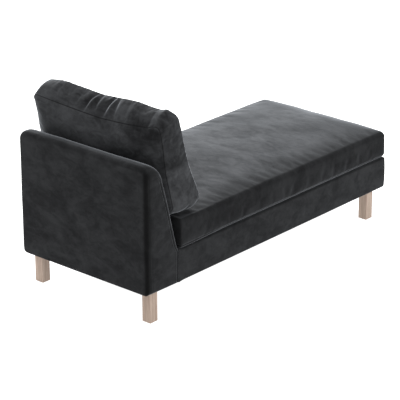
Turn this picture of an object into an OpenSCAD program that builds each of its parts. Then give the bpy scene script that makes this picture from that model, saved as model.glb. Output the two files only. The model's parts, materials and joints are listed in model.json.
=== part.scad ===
// Upholstered daybed with one backrest, a loose seat cushion and a loose back cushion.
// Millimetres. X is across the width, +Y is towards the backrest, +Z is up.
// The origin is on the floor, under the middle of the plan.

/* [Overall] */
// Length from the rear of the backrest to the foot end of the seat cushion
overall_length = 1790; // [1500:10:2150]
// Width over the base covers
body_width = 800; // [640:10:1000]
// Height of the backrest
back_height = 770; // [640:10:900]

/* [Legs] */
// Height from the floor to the underside of the base
leg_height = 160; // [90:5:220]
// Side of the square leg
leg_side = 50; // [40:1:60]
// Chamfer on the long edges of the leg
leg_chamfer = 1.5; // [0.5:0.5:4]
// Leg set in from the side of the base
leg_inset_side = 29; // [25:1:40]
// Leg set in from the rear of the backrest
leg_inset_rear = 48; // [36:1:60]
// Leg set in from the foot end
leg_inset_foot = 62; // [45:1:80]
// Diameter of the felt-faced glide under the leg
glide_diameter = 40; // [24:1:44]
// Thickness of the glide
glide_height = 3; // [2:0.5:6]

/* [Base] */
// Depth of the base from its underside to the deck that the seat cushion lies on
base_depth = 161.5; // [130:0.5:220]
// Thickness of the softwood rails
rail_thickness = 22; // [18:1:28]
// Height of the softwood rails
rail_height = 138; // [110:1:190]
// Length of the corner block along the base
block_length = 80; // [70:5:120]
// Width of the corner block across the base
block_width = 80; // [70:5:120]
// Height of the corner block
block_height = 60; // [45:5:80]
// Number of cross rails
cross_rail_count = 3; // [1:1:5]
// Height of the cross rails
cross_rail_height = 70; // [50:5:90]

/* [Springs] */
// Number of zigzag springs
spring_count = 9; // [6:1:12]
// Wire diameter of the springs
wire_diameter = 3.8; // [3:0.1:4.2]
// Greatest distance between neighbouring bars of a spring
bar_spacing = 36; // [28:1:40]
// Width of a spring along the base
spring_width = 54; // [50:1:64]

/* [Backrest] */
// Depth of the backrest at the deck
back_depth = 210; // [190:5:260]
// Slope of the backrest's front from upright
back_rake = 14.8; // [8:0.1:18]
// Radius where the front turns into the top
front_top_radius = 75; // [50:5:90]
// Radius where the rear turns into the top
rear_top_radius = 22; // [18:1:30]
// Radius of the top corners seen from behind
shoulder_radius = 45; // [30:1:60]
// Width of the posts
post_width = 40; // [32:1:50]

/* [Upholstery] */
// Thickness of the velvet cover with its backing
cover_thickness = 2; // [1.5:0.5:3]
// Thickness of the wadding on the sides and the rear
wadding_thickness = 8; // [5:1:14]
// Thickness of the foam on the backrest's top
top_foam = 20; // [14:1:30]
// Thickness of the foam on the backrest's front
front_foam = 25; // [18:1:35]
// Thickness of the boards that close the backrest
rear_board = 3; // [2.5:0.5:5]
// Thickness of the board behind the front foam
front_board = 5; // [4:0.5:8]
// Width of the hem that is turned under the base
hem_width = 20; // [16:1:24]

/* [Seat cushion] */
// Thickness of the seat cushion
seat_thickness = 150; // [110:5:200]
// Gap between the cushion's rear end and the backrest at the deck
seat_rear_gap = 15; // [12:1:30]
// How far the cushion stands over each side of the base
seat_overhang = 4; // [0:1:12]
// Radius of the cushion's long edges
seat_edge_radius = 25; // [15:1:40]
// Radius of the cushion's corners seen from above
seat_corner_radius = 30; // [20:1:50]

/* [Back cushion] */
// Width of the back cushion
pillow_width = 790; // [600:10:960]
// How far the back cushion lies off the middle of the daybed
pillow_shift = 22; // [0:1:30]
// Height of the back cushion along its slope
pillow_height = 485; // [400:5:600]
// Thickness of the back cushion
pillow_thickness = 206; // [150:2:240]
// Room between the back cushion and the backrest
pillow_gap = 4; // [3:1:10]
// Radius of the back cushion's upper corners seen from behind
pillow_corner_radius = 50; // [30:5:70]

/* [Fasteners and zips] */
// Diameter of the bolts
bolt_diameter = 8; // [6:1:10]
// Length of the zips
zip_length = 640; // [500:10:760]
// Width of the zip's coil
zip_coil_width = 6; // [4:0.5:8]
// Length of a zip pull
pull_length = 20; // [14:1:22]

/* [Hidden] */
$fn = 48;

// Small gaps that keep neighbouring pieces apart
rest_gap = 0.5;
fit_gap = 0.05;
core_gap = 1;
through = 1;

rear_y = overall_length / 2;
side_x = body_width / 2;
foot_y = -rear_y + seat_overhang;
frame_z = leg_height + cover_thickness;
rail_top_z = frame_z + rail_height;
deck_z = leg_height + base_depth;

padded_skin = cover_thickness + wadding_thickness;
rail_outer_x = side_x - padded_skin;
rail_inner_x = rail_outer_x - rail_thickness;
rail_foot_y = foot_y + padded_skin;
rail_rear_y = rear_y - padded_skin;
block_foot_y = rail_foot_y + rail_thickness;
block_rear_y = rail_rear_y - rail_thickness;
post_y = block_rear_y - post_width / 2;
post_x = rail_inner_x - post_width / 2;
post_clear = 10;
post_foot_z = frame_z + block_height + post_clear;

// The frame's outline stands in from the cover by these amounts
frame_rear = padded_skin + rear_board;
frame_top = cover_thickness + top_foam;
frame_front = cover_thickness + front_foam;
board_front = frame_front + front_board;
// The posts, the boards and the covers' seams end this far below the backrest's top
crown_drop = 70;
seam_drop = 80;
crown_z = back_height - crown_drop;
seam_z = back_height - seam_drop;

leg_x = side_x - leg_inset_side - leg_side / 2;
leg_rear_y = rear_y - leg_inset_rear - leg_side / 2;
leg_foot_y = foot_y + leg_inset_foot + leg_side / 2;
leg_places = [[-leg_x, leg_rear_y], [leg_x, leg_rear_y], [-leg_x, leg_foot_y], [leg_x, leg_foot_y]];
leg_bolt_depth = 62;
leg_bolt_length = leg_bolt_depth + block_height + 2;

tee_flange_r = 11;
tee_flange_t = 1.5;
tee_barrel_r = 5;
tee_barrel_length = 12;
bore_play = 0.5;

seat_z = deck_z + rest_gap;
seat_top_z = seat_z + seat_thickness;
seat_rear_y = rear_y - back_depth - seat_rear_gap;
seat_length = seat_rear_y + rear_y;
seat_width = body_width + 2 * seat_overhang;
pillow_z = seat_top_z + 2 * rest_gap;

clip_sheet = 1.2;
clip_length = 16;
spring_z = rail_top_z + clip_sheet + 0.1 + wire_diameter / 2;
clip_top_z = spring_z + wire_diameter / 2 + 0.1 + clip_sheet;
felt_z = clip_top_z + 0.2;
felt_thickness = 2;
deck_cloth_z = deck_z - cover_thickness;
spring_foot_room = 70;
spring_back_room = 45;
spring_first_y = block_foot_y + spring_foot_room;
spring_last_y = rear_y - back_depth - spring_back_room;
spring_step = (spring_last_y - spring_first_y) / (spring_count - 1);
spring_reach = rail_inner_x + rail_thickness / 3;
bar_count = 2 * ceil(spring_reach / bar_spacing + 0.5);
bar_pitch = floor(20 * spring_reach / (bar_count - 1)) / 10;
spring_end_x = (bar_count - 1) * bar_pitch / 2;

seat_zip_z = seat_z + seat_thickness / 2;
pillow_zip_y = rear_y - back_depth;
slider_length = 12;
slider_width = 11;
slider_height = 5;
coil_height = 1.5;
coil_lift = 0.1;
lug_height = 4.2;
pin_radius = 0.8;
pin_lift = 2.2;
zip_end_room = 20;
zip_rest_x = zip_length / 2 - zip_end_room;

velvet = [0.16, 0.165, 0.175];
velvet_light = [0.27, 0.28, 0.30];
pale_wood = [0.76, 0.68, 0.61];
softwood = [0.82, 0.70, 0.50];
board_wood = [0.60, 0.45, 0.30];
foam_colour = [0.93, 0.90, 0.80];
wadding_colour = [0.95, 0.95, 0.93];
black_cloth = [0.10, 0.10, 0.10];
steel = [0.70, 0.71, 0.73];
dark_steel = [0.25, 0.25, 0.27];

// ---------------------------------------------------------------- outlines

function unit(v) = v / norm(v);

// Corner points of an outline, each corner turned with its own radius
function rounded(points, radii, steps = 8) = [
    for (i = [0 : len(points) - 1])
        let (
            p = points[i],
            r = radii[i],
            u = unit(points[(i + len(points) - 1) % len(points)] - p),
            v = unit(points[(i + 1) % len(points)] - p),
            half = acos(u * v) / 2,
            centre = p + unit(u + v) * r / sin(half),
            first = p + u * r / tan(half) - centre,
            last = p + v * r / tan(half) - centre,
            start = atan2(first[1], first[0]),
            turn = (atan2(last[1], last[0]) - start + 540) % 360 - 180
        )
        each r == 0
            ? [p]
            : [for (s = [0 : steps]) centre + r * [cos(start + turn * s / steps), sin(start + turn * s / steps)]]
];

// A rectangle with true arcs at its corners
module rounded_rect(width, height, r) {
    square([width - 2 * r, height], center = true);
    square([width, height - 2 * r], center = true);
    for (sx = [-1, 1], sy = [-1, 1])
        translate([sx * (width / 2 - r), sy * (height / 2 - r)])
            circle(r);
}

// Draws a Y-Z outline as a bar across the width
module across(width) {
    translate([-width / 2, 0, 0])
        rotate([90, 0, 90])
            linear_extrude(width)
                children();
}

// A box given by its lowest and highest corners
module block(low, high) {
    translate(low)
        cube(high - low);
}

module mirrored_x(side) {
    scale([side, 1, 1])
        children();
}

// ---------------------------------------------------------------- backrest form

// Distance of the backrest's sloping front from its rear, at a height, set in by an inset
function front_depth(z, inset) =
    back_depth - (max(z, deck_z) - deck_z) * tan(back_rake) - inset / cos(back_rake);

function back_outline(bottom, rear, top, front) = rounded(
    [
        [rear_y - rear, bottom],
        [rear_y - rear, back_height - top],
        [rear_y - front_depth(back_height - top, front), back_height - top],
        [rear_y - front_depth(deck_z, front), deck_z],
        [rear_y - front_depth(deck_z, front), bottom]
    ],
    [0, max(rear_top_radius - rear, 4), front_top_radius - top, 0, 0]
);

// The backrest set in from the cover, over its width and with its shoulders rounded
module back_form(bottom, rear, top, front, width) {
    shoulder = shoulder_radius - top;
    intersection() {
        across(width)
            polygon(back_outline(bottom, rear, top, front));
        translate([0, rear_y + through, (back_height - top) / 2])
            rotate([90, 0, 0])
                linear_extrude(back_depth + 2 * through)
                    union() {
                        rounded_rect(body_width - 2 * top, back_height - top, shoulder);
                        translate([0, -shoulder])
                            square([body_width - 2 * top, back_height - top], center = true);
                    }
    }
}

// The frame's outline as a bar across the width, with no rounded shoulders
module back_bar(bottom, width, front = frame_front) {
    across(width)
        polygon(back_outline(bottom, frame_rear, frame_top, front));
}

module back_inner() {
    back_form(leg_height - through, cover_thickness, cover_thickness, cover_thickness,
        body_width - 2 * cover_thickness);
}

// The part of the backrest's cover that lies in a box
module back_skin(low, high) {
    difference() {
        intersection() {
            back_form(leg_height, 0, 0, 0, body_width);
            block(low, high);
        }
        back_inner();
    }
}

module back_foam() {
    difference() {
        back_form(deck_z, cover_thickness, cover_thickness, cover_thickness, 2 * rail_outer_x);
        back_bar(deck_z - through, body_width);
    }
}

// The front cover, foam and board lie in front of this
front_half_depth = 60;
front_half = [[-side_x, rear_y - back_depth - through, 0], [side_x, rear_y - front_half_depth, 0]];

// ---------------------------------------------------------------- base frame

module side_rail(side) {
    color(softwood)
        difference() {
            mirrored_x(side)
                block([rail_inner_x, rail_foot_y, frame_z], [rail_outer_x, rail_rear_y, rail_top_z]);
            for (z = post_bolt_heights())
                translate([side * rail_inner_x, post_y, z])
                    rotate([0, side * 90, 0])
                        post_bolt_bore();
        }
}

// Bore through the rail: a clearance hole, then the tee nut's barrel and its flange
module post_bolt_bore() {
    translate([0, 0, -through])
        cylinder(r = bolt_diameter / 2 + bore_play, h = rail_thickness + 2 * through);
    translate([0, 0, rail_thickness - tee_flange_t - tee_barrel_length - fit_gap])
        cylinder(r = tee_barrel_r + fit_gap, h = rail_thickness);
    translate([0, 0, rail_thickness - tee_flange_t])
        cylinder(r = tee_flange_r + fit_gap, h = rail_thickness);
}

function post_bolt_heights() = [
    post_foot_z + 0.26 * (rail_top_z - post_foot_z),
    post_foot_z + 0.76 * (rail_top_z - post_foot_z)
];

module rail_left() { side_rail(1); }
module rail_right() { side_rail(-1); }

module rail_foot() {
    color(softwood)
        block([-rail_inner_x, rail_foot_y, frame_z], [rail_inner_x, block_foot_y, rail_top_z]);
}

module rail_head() {
    color(softwood)
        block([-rail_inner_x, block_rear_y, frame_z], [rail_inner_x, rail_rear_y, rail_top_z]);
}

module cross_rails() {
    first = block_foot_y + block_length;
    last = block_rear_y - block_length;
    color(softwood)
        for (i = [1 : cross_rail_count])
            translate([-rail_inner_x, first + (last - first) * i / (cross_rail_count + 1), frame_z])
                cube([2 * rail_inner_x, rail_thickness, cross_rail_height]);
}

module at_blocks() {
    for (side = [-1, 1]) {
        translate([side * (rail_inner_x - block_width / 2), block_foot_y + block_length / 2, frame_z])
            children();
        translate([side * (rail_inner_x - block_width / 2), block_rear_y - block_length / 2, frame_z])
            children();
    }
}

module corner_blocks() {
    color(softwood)
        difference() {
            at_blocks()
                translate([0, 0, block_height / 2])
                    cube([block_width, block_length, block_height], center = true);
            for (p = leg_places)
                translate([p[0], p[1], frame_z]) {
                    translate([0, 0, -through])
                        cylinder(r = bolt_diameter / 2 + bore_play, h = block_height + 2 * through);
                    translate([0, 0, block_height - tee_barrel_length - fit_gap])
                        cylinder(r = tee_barrel_r + fit_gap, h = block_height);
                }
        }
}

// A wood screw pointing along +Z, its head's top at z = 0
module wood_screw(length, r) {
    translate([0, 0, -length])
        cylinder(r1 = 0.4, r2 = r, h = 3 * r);
    translate([0, 0, 3 * r - length])
        cylinder(r = r, h = length - 3 * r);
    translate([0, 0, -1.2 * r])
        cylinder(r1 = r, r2 = 2 * r, h = 1.2 * r);
}

screw_radius = 2.5;

// Two screws hold each corner block to the side rail, driven from inside the frame
module block_screws() {
    place_x = rail_inner_x - block_width;
    color(dark_steel)
        for (side = [-1, 1], y = [block_foot_y, block_rear_y], end = [-1, 1]) {
            middle = y + (y < 0 ? 1 : -1) * block_length / 2;
            translate([side * place_x, middle + end * 0.38 * block_length, frame_z + block_height * 0.75])
                rotate([0, side * -90, 0])
                    wood_screw(block_width + rail_thickness / 2, screw_radius);
        }
}

// A tee nut whose flange lies on z = 0 with the barrel below
module tee_nut() {
    difference() {
        union() {
            cylinder(r = tee_flange_r, h = tee_flange_t);
            translate([0, 0, -tee_barrel_length])
                cylinder(r = tee_barrel_r, h = tee_barrel_length);
        }
        translate([0, 0, -tee_barrel_length - through])
            cylinder(r = bolt_diameter / 2 + fit_gap, h = tee_barrel_length + tee_flange_t + 2 * through);
    }
}

module leg_tee_nuts() {
    color(steel)
        for (p = leg_places)
            translate([p[0], p[1], frame_z + block_height])
                tee_nut();
}

module leg_bolts() {
    color(steel)
        for (p = leg_places)
            translate([p[0], p[1], frame_z - leg_bolt_depth])
                cylinder(r = bolt_diameter / 2, h = leg_bolt_length);
}

// ---------------------------------------------------------------- legs

module leg(place) {
    half = leg_side / 2;
    cut = half - leg_chamfer;
    color(pale_wood)
        translate([place[0], place[1], 0])
            difference() {
                translate([0, 0, glide_height])
                    linear_extrude(frame_z - glide_height)
                        polygon([[half, -cut], [half, cut], [cut, half], [-cut, half],
                                 [-half, cut], [-half, -cut], [-cut, -half], [cut, -half]]);
                translate([0, 0, frame_z - leg_bolt_depth - rest_gap])
                    cylinder(r = bolt_diameter / 2 + fit_gap, h = leg_bolt_depth + through);
            }
}

module leg_rear_left() { leg(leg_places[1]); }
module leg_rear_right() { leg(leg_places[0]); }
module leg_foot_left() { leg(leg_places[3]); }
module leg_foot_right() { leg(leg_places[2]); }

glide_pin_radius = 1.2;
glide_pin_length = 15;

module leg_glides() {
    color(black_cloth)
        for (p = leg_places)
            translate([p[0], p[1], 0]) {
                cylinder(r = glide_diameter / 2, h = glide_height);
                cylinder(r = glide_pin_radius, h = glide_height + glide_pin_length);
            }
}

// ---------------------------------------------------------------- springs and deck

// A wire bent to and fro, with its bars along the base and its middle at the origin
module zigzag_spring() {
    bend = bar_pitch / 2;
    bar = spring_width - 2 * bend - wire_diameter;
    for (i = [0 : bar_count - 1])
        translate([-spring_end_x + i * bar_pitch, bar / 2, 0])
            rotate([90, 0, 0])
                cylinder(d = wire_diameter, h = bar);
    for (i = [0 : bar_count - 2])
        translate([-spring_end_x + (i + 0.5) * bar_pitch, (i % 2 == 0 ? 1 : -1) * bar / 2, 0])
            rotate([0, 0, i % 2 == 0 ? 0 : 180])
                rotate_extrude(angle = 180)
                    translate([bend, 0])
                        circle(d = wire_diameter);
}

module at_springs() {
    for (i = [0 : spring_count - 1])
        translate([0, spring_first_y + i * spring_step, 0])
            children();
}

module zigzag_springs() {
    color(steel)
        at_springs()
            translate([0, 0, spring_z])
                zigzag_spring();
}

clip_play = 0.5;
nail_radius = 1.1;
nail_length = 22;
nail_head_radius = 2.2;
nail_head_height = 0.8;

// Folded steel clips: a plate on the rail, a back and a lip over the spring's end bar
module spring_clips() {
    low = rail_top_z;
    fold = spring_end_x + wire_diameter / 2 + clip_play;
    lip = spring_end_x - wire_diameter;
    nail_x = (fold + clip_sheet + rail_outer_x) / 2;
    color(steel)
        at_springs()
            for (side = [0, 1])
                mirror([side, 0, 0])
                    difference() {
                        translate([0, clip_length / 2, 0])
                            rotate([90, 0, 0])
                                linear_extrude(clip_length)
                                    polygon([
                                        [rail_inner_x, low], [rail_outer_x, low],
                                        [rail_outer_x, low + clip_sheet], [fold + clip_sheet, low + clip_sheet],
                                        [fold + clip_sheet, clip_top_z], [lip, clip_top_z],
                                        [lip, clip_top_z - clip_sheet], [fold, clip_top_z - clip_sheet],
                                        [fold, low + clip_sheet], [rail_inner_x, low + clip_sheet]
                                    ]);
                        translate([nail_x, 0, low - through])
                            cylinder(r = nail_radius + 0.1, h = clip_sheet + 2 * through);
                    }
}

module spring_clip_nails() {
    fold = spring_end_x + wire_diameter / 2 + clip_play + clip_sheet;
    nail_x = (fold + rail_outer_x) / 2;
    color(dark_steel)
        at_springs()
            for (side = [-1, 1])
                translate([side * nail_x, 0, rail_top_z - nail_length]) {
                    cylinder(r = nail_radius, h = nail_length + clip_sheet);
                    translate([0, 0, nail_length + clip_sheet])
                        cylinder(r = nail_head_radius, h = nail_head_height);
                }
}

module spring_felt() {
    color([0.35, 0.36, 0.38])
        block([-rail_outer_x, foot_y + padded_skin, felt_z],
              [rail_outer_x, rear_y - back_depth, felt_z + felt_thickness]);
}

module deck_pad() {
    color(foam_colour)
        block([-rail_outer_x, foot_y + padded_skin, felt_z + felt_thickness],
              [rail_outer_x, rear_y - back_depth, deck_cloth_z]);
}

module deck_cloth() {
    color(velvet)
        block([-side_x + cover_thickness, foot_y + cover_thickness, deck_cloth_z],
              [side_x - cover_thickness, rear_y - back_depth, deck_z]);
}

// ---------------------------------------------------------------- base upholstery

module base_wadding_side(side) {
    color(wadding_colour)
        mirrored_x(side)
            block([rail_outer_x, foot_y + cover_thickness, frame_z],
                  [side_x - cover_thickness, rear_y - back_depth, deck_cloth_z]);
}

module base_wadding_left() { base_wadding_side(1); }
module base_wadding_right() { base_wadding_side(-1); }

module base_wadding_foot() {
    color(wadding_colour)
        block([-rail_outer_x, foot_y + cover_thickness, frame_z],
              [rail_outer_x, rail_foot_y, deck_cloth_z]);
}

// A side panel with its hem turned under the rail
module base_cover_side(side) {
    color(velvet)
        mirrored_x(side) {
            block([side_x - cover_thickness, foot_y, leg_height],
                  [side_x, rear_y - back_depth, deck_z]);
            block([side_x - hem_width, foot_y + hem_width, leg_height],
                  [side_x - cover_thickness, rear_y - back_depth, frame_z]);
        }
}

module base_cover_left() { base_cover_side(1); }
module base_cover_right() { base_cover_side(-1); }

module base_cover_foot() {
    color(velvet) {
        block([-side_x + cover_thickness, foot_y, leg_height],
              [side_x - cover_thickness, foot_y + cover_thickness, deck_z]);
        block([-side_x + cover_thickness, foot_y + cover_thickness, leg_height],
              [side_x - cover_thickness, foot_y + hem_width, frame_z]);
    }
}

dust_edge_x = side_x - hem_width - rest_gap;
dust_foot_y = foot_y + hem_width + rest_gap;
dust_rear_y = rear_y - hem_width - rest_gap;
dust_thickness = 1;

// Black cloth under the base, cut out round the legs
module dust_cover() {
    color(black_cloth)
        difference() {
            block([-dust_edge_x, dust_foot_y, frame_z - dust_thickness],
                  [dust_edge_x, dust_rear_y, frame_z]);
            for (p = leg_places)
                translate([p[0], p[1], frame_z])
                    cube([leg_side + 2, leg_side + 2, 4 * dust_thickness], center = true);
        }
}

staple_spacing = 85;
staple_wire = 0.6;
staple_crown = 10;
staple_length = 8;
staple_end_room = 30;

// A staple seen from below, its crown along X and its points up
module staple() {
    translate([-staple_crown / 2, -staple_wire / 2, -staple_wire])
        cube([staple_crown, staple_wire, staple_wire]);
    for (side = [-1, 1])
        translate([side * (staple_crown - staple_wire) / 2 - staple_wire / 2, -staple_wire / 2, -staple_wire])
            cube([staple_wire, staple_wire, staple_length]);
}

module dust_cover_staples() {
    row_x = (rail_inner_x + dust_edge_x) / 2;
    long_count = floor((dust_rear_y - dust_foot_y - 2 * staple_end_room) / staple_spacing);
    short_count = floor((2 * row_x - 2 * staple_end_room) / staple_spacing);
    short_foot_y = rail_foot_y + rail_thickness * 0.75;
    short_rear_y = rail_rear_y - rail_thickness * 0.75;
    middle_y = (dust_foot_y + dust_rear_y) / 2;
    color(steel)
        translate([0, 0, frame_z - dust_thickness]) {
            for (side = [-1, 1], i = [0 : long_count])
                translate([side * row_x, middle_y + (i - long_count / 2) * staple_spacing, 0])
                    rotate([0, 0, 90])
                        staple();
            for (y = [short_foot_y, short_rear_y], i = [0 : short_count])
                translate([(i - short_count / 2) * staple_spacing, y, 0])
                    staple();
        }
}

// ---------------------------------------------------------------- backrest frame

module back_board(side) {
    color(board_wood)
        intersection() {
            back_bar(rail_top_z, body_width, board_front);
            mirrored_x(side)
                block([rail_inner_x, 0, 0], [rail_outer_x, rear_y, back_height]);
        }
}

module back_board_left() { back_board(1); }
module back_board_right() { back_board(-1); }

module back_post(side) {
    color(softwood)
        difference() {
            translate([side * post_x, post_y, (post_foot_z + crown_z) / 2])
                cube([post_width, post_width, crown_z - post_foot_z], center = true);
            for (z = post_bolt_heights())
                translate([side * post_x, post_y, z])
                    rotate([0, 90, 0])
                        cylinder(r = bolt_diameter / 2 + bore_play, h = post_width + 2 * through, center = true);
        }
}

module back_post_left() { back_post(1); }
module back_post_right() { back_post(-1); }

module back_top_rail() {
    color(softwood)
        intersection() {
            back_bar(rail_top_z, 2 * rail_inner_x);
            block([-side_x, 0, crown_z], [side_x, rear_y, back_height]);
        }
}

lower_rail_height = 45;

// Stands between the side boards, close behind the front board's lower edge
module back_lower_rail() {
    front = rear_y - front_depth(rail_top_z + lower_rail_height, board_front + 1);
    color(softwood)
        block([-rail_inner_x, front, rail_top_z],
              [rail_inner_x, front + rail_thickness, rail_top_z + lower_rail_height]);
}

module back_front_board() {
    color(board_wood)
        intersection() {
            difference() {
                back_bar(rail_top_z, 2 * rail_outer_x);
                back_bar(rail_top_z - through, body_width, board_front);
            }
            block(front_half[0], [side_x, front_half[1][1], crown_z]);
        }
}

module back_rear_board() {
    color(board_wood)
        block([-rail_outer_x, rear_y - frame_rear, rail_top_z],
              [rail_outer_x, rear_y - padded_skin, seam_z]);
}

// M8 bolts through the posts into tee nuts in the side rails
module at_post_bolts() {
    for (side = [0, 1], z = post_bolt_heights())
        mirror([side, 0, 0])
            translate([rail_inner_x - post_width, post_y, z])
                rotate([0, 90, 0])
                    children();
}

washer_thickness = 1.6;

bolt_head_width = 1.63 * bolt_diameter;
bolt_head_height = 0.65 * bolt_diameter;
washer_diameter = 2.2 * bolt_diameter;

module post_bolts() {
    color(steel)
        at_post_bolts() {
            translate([0, 0, -washer_thickness])
                cylinder(d = bolt_diameter, h = washer_thickness + post_width + rail_thickness - tee_flange_t);
            translate([0, 0, -washer_thickness - bolt_head_height])
                cylinder(d = bolt_head_width, h = bolt_head_height, $fn = 6);
        }
}

module post_bolt_washers() {
    color(steel)
        at_post_bolts()
            translate([0, 0, -washer_thickness])
                difference() {
                    cylinder(d = washer_diameter, h = washer_thickness);
                    translate([0, 0, -through])
                        cylinder(r = bolt_diameter / 2 + fit_gap, h = washer_thickness + 2 * through);
                }
}

module post_tee_nuts() {
    color(steel)
        at_post_bolts()
            translate([0, 0, post_width + rail_thickness - tee_flange_t])
                tee_nut();
}

// ---------------------------------------------------------------- backrest upholstery

module back_front_foam() {
    color(foam_colour)
        intersection() {
            back_foam();
            block([-side_x, front_half[0][1], deck_z], [side_x, front_half[1][1], seam_z]);
        }
}

module back_top_foam() {
    color(foam_colour)
        intersection() {
            back_foam();
            block([-side_x, 0, seam_z], [side_x, rear_y, back_height]);
        }
}

module back_rear_wadding() {
    color(wadding_colour)
        block([-side_x + cover_thickness, rear_y - padded_skin, frame_z],
              [side_x - cover_thickness, rear_y - cover_thickness, seam_z]);
}

module back_wadding(side) {
    color(wadding_colour)
        intersection() {
            back_form(frame_z, padded_skin, cover_thickness, cover_thickness, body_width);
            mirrored_x(side)
                block([rail_outer_x, 0, 0], [side_x - cover_thickness, rear_y, back_height]);
        }
}

module back_wadding_left() { back_wadding(1); }
module back_wadding_right() { back_wadding(-1); }

module back_cover_rear() {
    color(velvet) {
        back_skin([-side_x + cover_thickness, rear_y - cover_thickness, leg_height],
                  [side_x - cover_thickness, rear_y, seam_z]);
        block([-side_x + cover_thickness, rear_y - hem_width, leg_height],
              [side_x - cover_thickness, rear_y - cover_thickness, frame_z]);
    }
}

module back_cover_top() {
    color(velvet)
        back_skin([-side_x + cover_thickness, 0, seam_z],
                  [side_x - cover_thickness, rear_y, back_height]);
}

module back_cover_front() {
    color(velvet)
        back_skin([-side_x + cover_thickness, front_half[0][1], deck_z],
                  [side_x - cover_thickness, front_half[1][1], seam_z]);
}

module back_cover_side(side) {
    color(velvet) {
        intersection() {
            back_form(leg_height, 0, 0, 0, body_width);
            mirrored_x(side)
                block([side_x - cover_thickness, 0, 0], [side_x, rear_y, back_height]);
        }
        mirrored_x(side)
            block([side_x - hem_width, rear_y - back_depth, leg_height],
                  [side_x - cover_thickness, rear_y - hem_width, frame_z]);
    }
}

module back_cover_side_left() { back_cover_side(1); }
module back_cover_side_right() { back_cover_side(-1); }

// ---------------------------------------------------------------- zips

// Runs along X with the cloth's outer face at z = 0
module zip_chain() {
    slot = zip_coil_width / 2 - 0.4;
    translate([-zip_length / 2, -2 * zip_coil_width, -cover_thickness - core_gap / 2])
        cube([zip_length, 4 * zip_coil_width, core_gap / 2]);
    translate([-zip_length / 2, -slot / 2, -cover_thickness])
        cube([zip_length, slot, cover_thickness + coil_lift]);
    translate([-zip_length / 2, -zip_coil_width / 2, coil_lift])
        cube([zip_length, zip_coil_width, coil_height]);
}

// The slot in the cover that the zip closes
module zip_slot() {
    slot = zip_coil_width / 2;
    translate([-zip_length / 2, -slot / 2, -cover_thickness - core_gap])
        cube([zip_length, slot, cover_thickness + 2 * core_gap]);
}

slider_play = 0.3;
pin_z = coil_lift + slider_play + slider_height + pin_lift;
lug_width = 1.8;
lug_length = 4.4;
lug_offset = 3.6;

// Rides over the coil, with two lugs and the pin that the pull hangs on
module zip_slider() {
    groove = zip_coil_width / 2 + slider_play;
    low = coil_lift + slider_play;
    difference() {
        translate([-slider_length / 2, -slider_width / 2, low])
            cube([slider_length, slider_width, slider_height]);
        translate([-slider_length, -groove, 0])
            cube([2 * slider_length, 2 * groove, coil_lift + coil_height + slider_play]);
    }
    for (side = [-1, 1])
        translate([-lug_length / 2, side * lug_offset - lug_width / 2, low + slider_height])
            cube([lug_length, lug_width, lug_height]);
    translate([0, lug_offset, pin_z])
        rotate([90, 0, 0])
            cylinder(r = pin_radius, h = 2 * lug_offset);
}

// The pull lies along +X from its pin
module zip_pull() {
    eye_width = 4.6;
    eye_radius = 1.7;
    eye_play = 0.08;
    thickness = 1.5;
    difference() {
        union() {
            rotate([90, 0, 0])
                cylinder(r = eye_radius, h = eye_width, center = true);
            translate([0, -eye_width / 2, -thickness / 2])
                cube([pull_length - eye_width / 2, eye_width, thickness]);
            translate([pull_length - eye_width / 2, 0, -thickness / 2])
                cylinder(d = eye_width, h = thickness);
        }
        rotate([90, 0, 0])
            cylinder(r = pin_radius + eye_play, h = 2 * eye_width, center = true);
    }
}

module at_seat_zip() {
    translate([0, seat_rear_y, seat_zip_z])
        rotate([-90, 0, 0])
            children();
}

module at_pillow_zip() {
    translate([0, pillow_zip_y, pillow_z])
        rotate([180, 0, 0])
            children();
}

// ---------------------------------------------------------------- seat cushion

// The cushion set in from its cover's outer face
module seat_form(inset) {
    width = seat_width - 2 * inset;
    length = seat_length - 2 * inset;
    height = seat_thickness - 2 * inset;
    edge = seat_edge_radius - inset;
    corner = seat_corner_radius - inset;
    translate([0, seat_rear_y - seat_length / 2, seat_z + seat_thickness / 2])
        intersection() {
            linear_extrude(height, center = true)
                rounded_rect(width, length, corner);
            rotate([90, 0, 0])
                linear_extrude(length, center = true)
                    rounded_rect(width, height, edge);
            rotate([90, 0, 90])
                linear_extrude(width, center = true)
                    rounded_rect(length, height, edge);
        }
}

module seat_cushion_core() {
    color(foam_colour)
        seat_form(cover_thickness + core_gap);
}

module seat_cushion_cover() {
    color(velvet_light)
        difference() {
            seat_form(0);
            seat_form(cover_thickness);
            at_seat_zip()
                zip_slot();
        }
}

module seat_zip_chain() {
    color(black_cloth)
        at_seat_zip()
            zip_chain();
}

module seat_zip_slider() {
    color(dark_steel)
        at_seat_zip()
            translate([zip_rest_x, 0, 0])
                zip_slider();
}

module seat_zip_pull() {
    color(dark_steel)
        at_seat_zip()
            translate([zip_rest_x, 0, pin_z])
                rotate([0, 0, 180])
                    zip_pull();
}

// ---------------------------------------------------------------- back cushion

// Distances of the pillow's rounded profile
pillow_rear_drop = 30;
pillow_front_drop = 8;
pillow_radii = [25, 40, 50, 45];

// Side outline: it leans on the backrest and lies flat on the seat cushion
function pillow_outline(inset) =
    let (
        rear = rear_y - front_depth(pillow_z, 0) - pillow_gap / cos(back_rake),
        thick = pillow_thickness / cos(back_rake),
        up = [sin(back_rake), cos(back_rake)],
        forward = [-cos(back_rake), sin(back_rake)],
        base_rear = [rear - inset / cos(back_rake) + inset * tan(back_rake), pillow_z + inset],
        base_front = [rear - thick + inset / cos(back_rake) + inset * tan(back_rake), pillow_z + inset],
        top_rear = [rear, pillow_z] + up * (pillow_height - pillow_rear_drop - inset) + forward * inset,
        top_front = [rear, pillow_z] + up * (pillow_height - pillow_front_drop - inset)
            + forward * (pillow_thickness - inset)
    )
    rounded([base_rear, top_rear, top_front, base_front], [for (r = pillow_radii) r - inset]);

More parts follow.
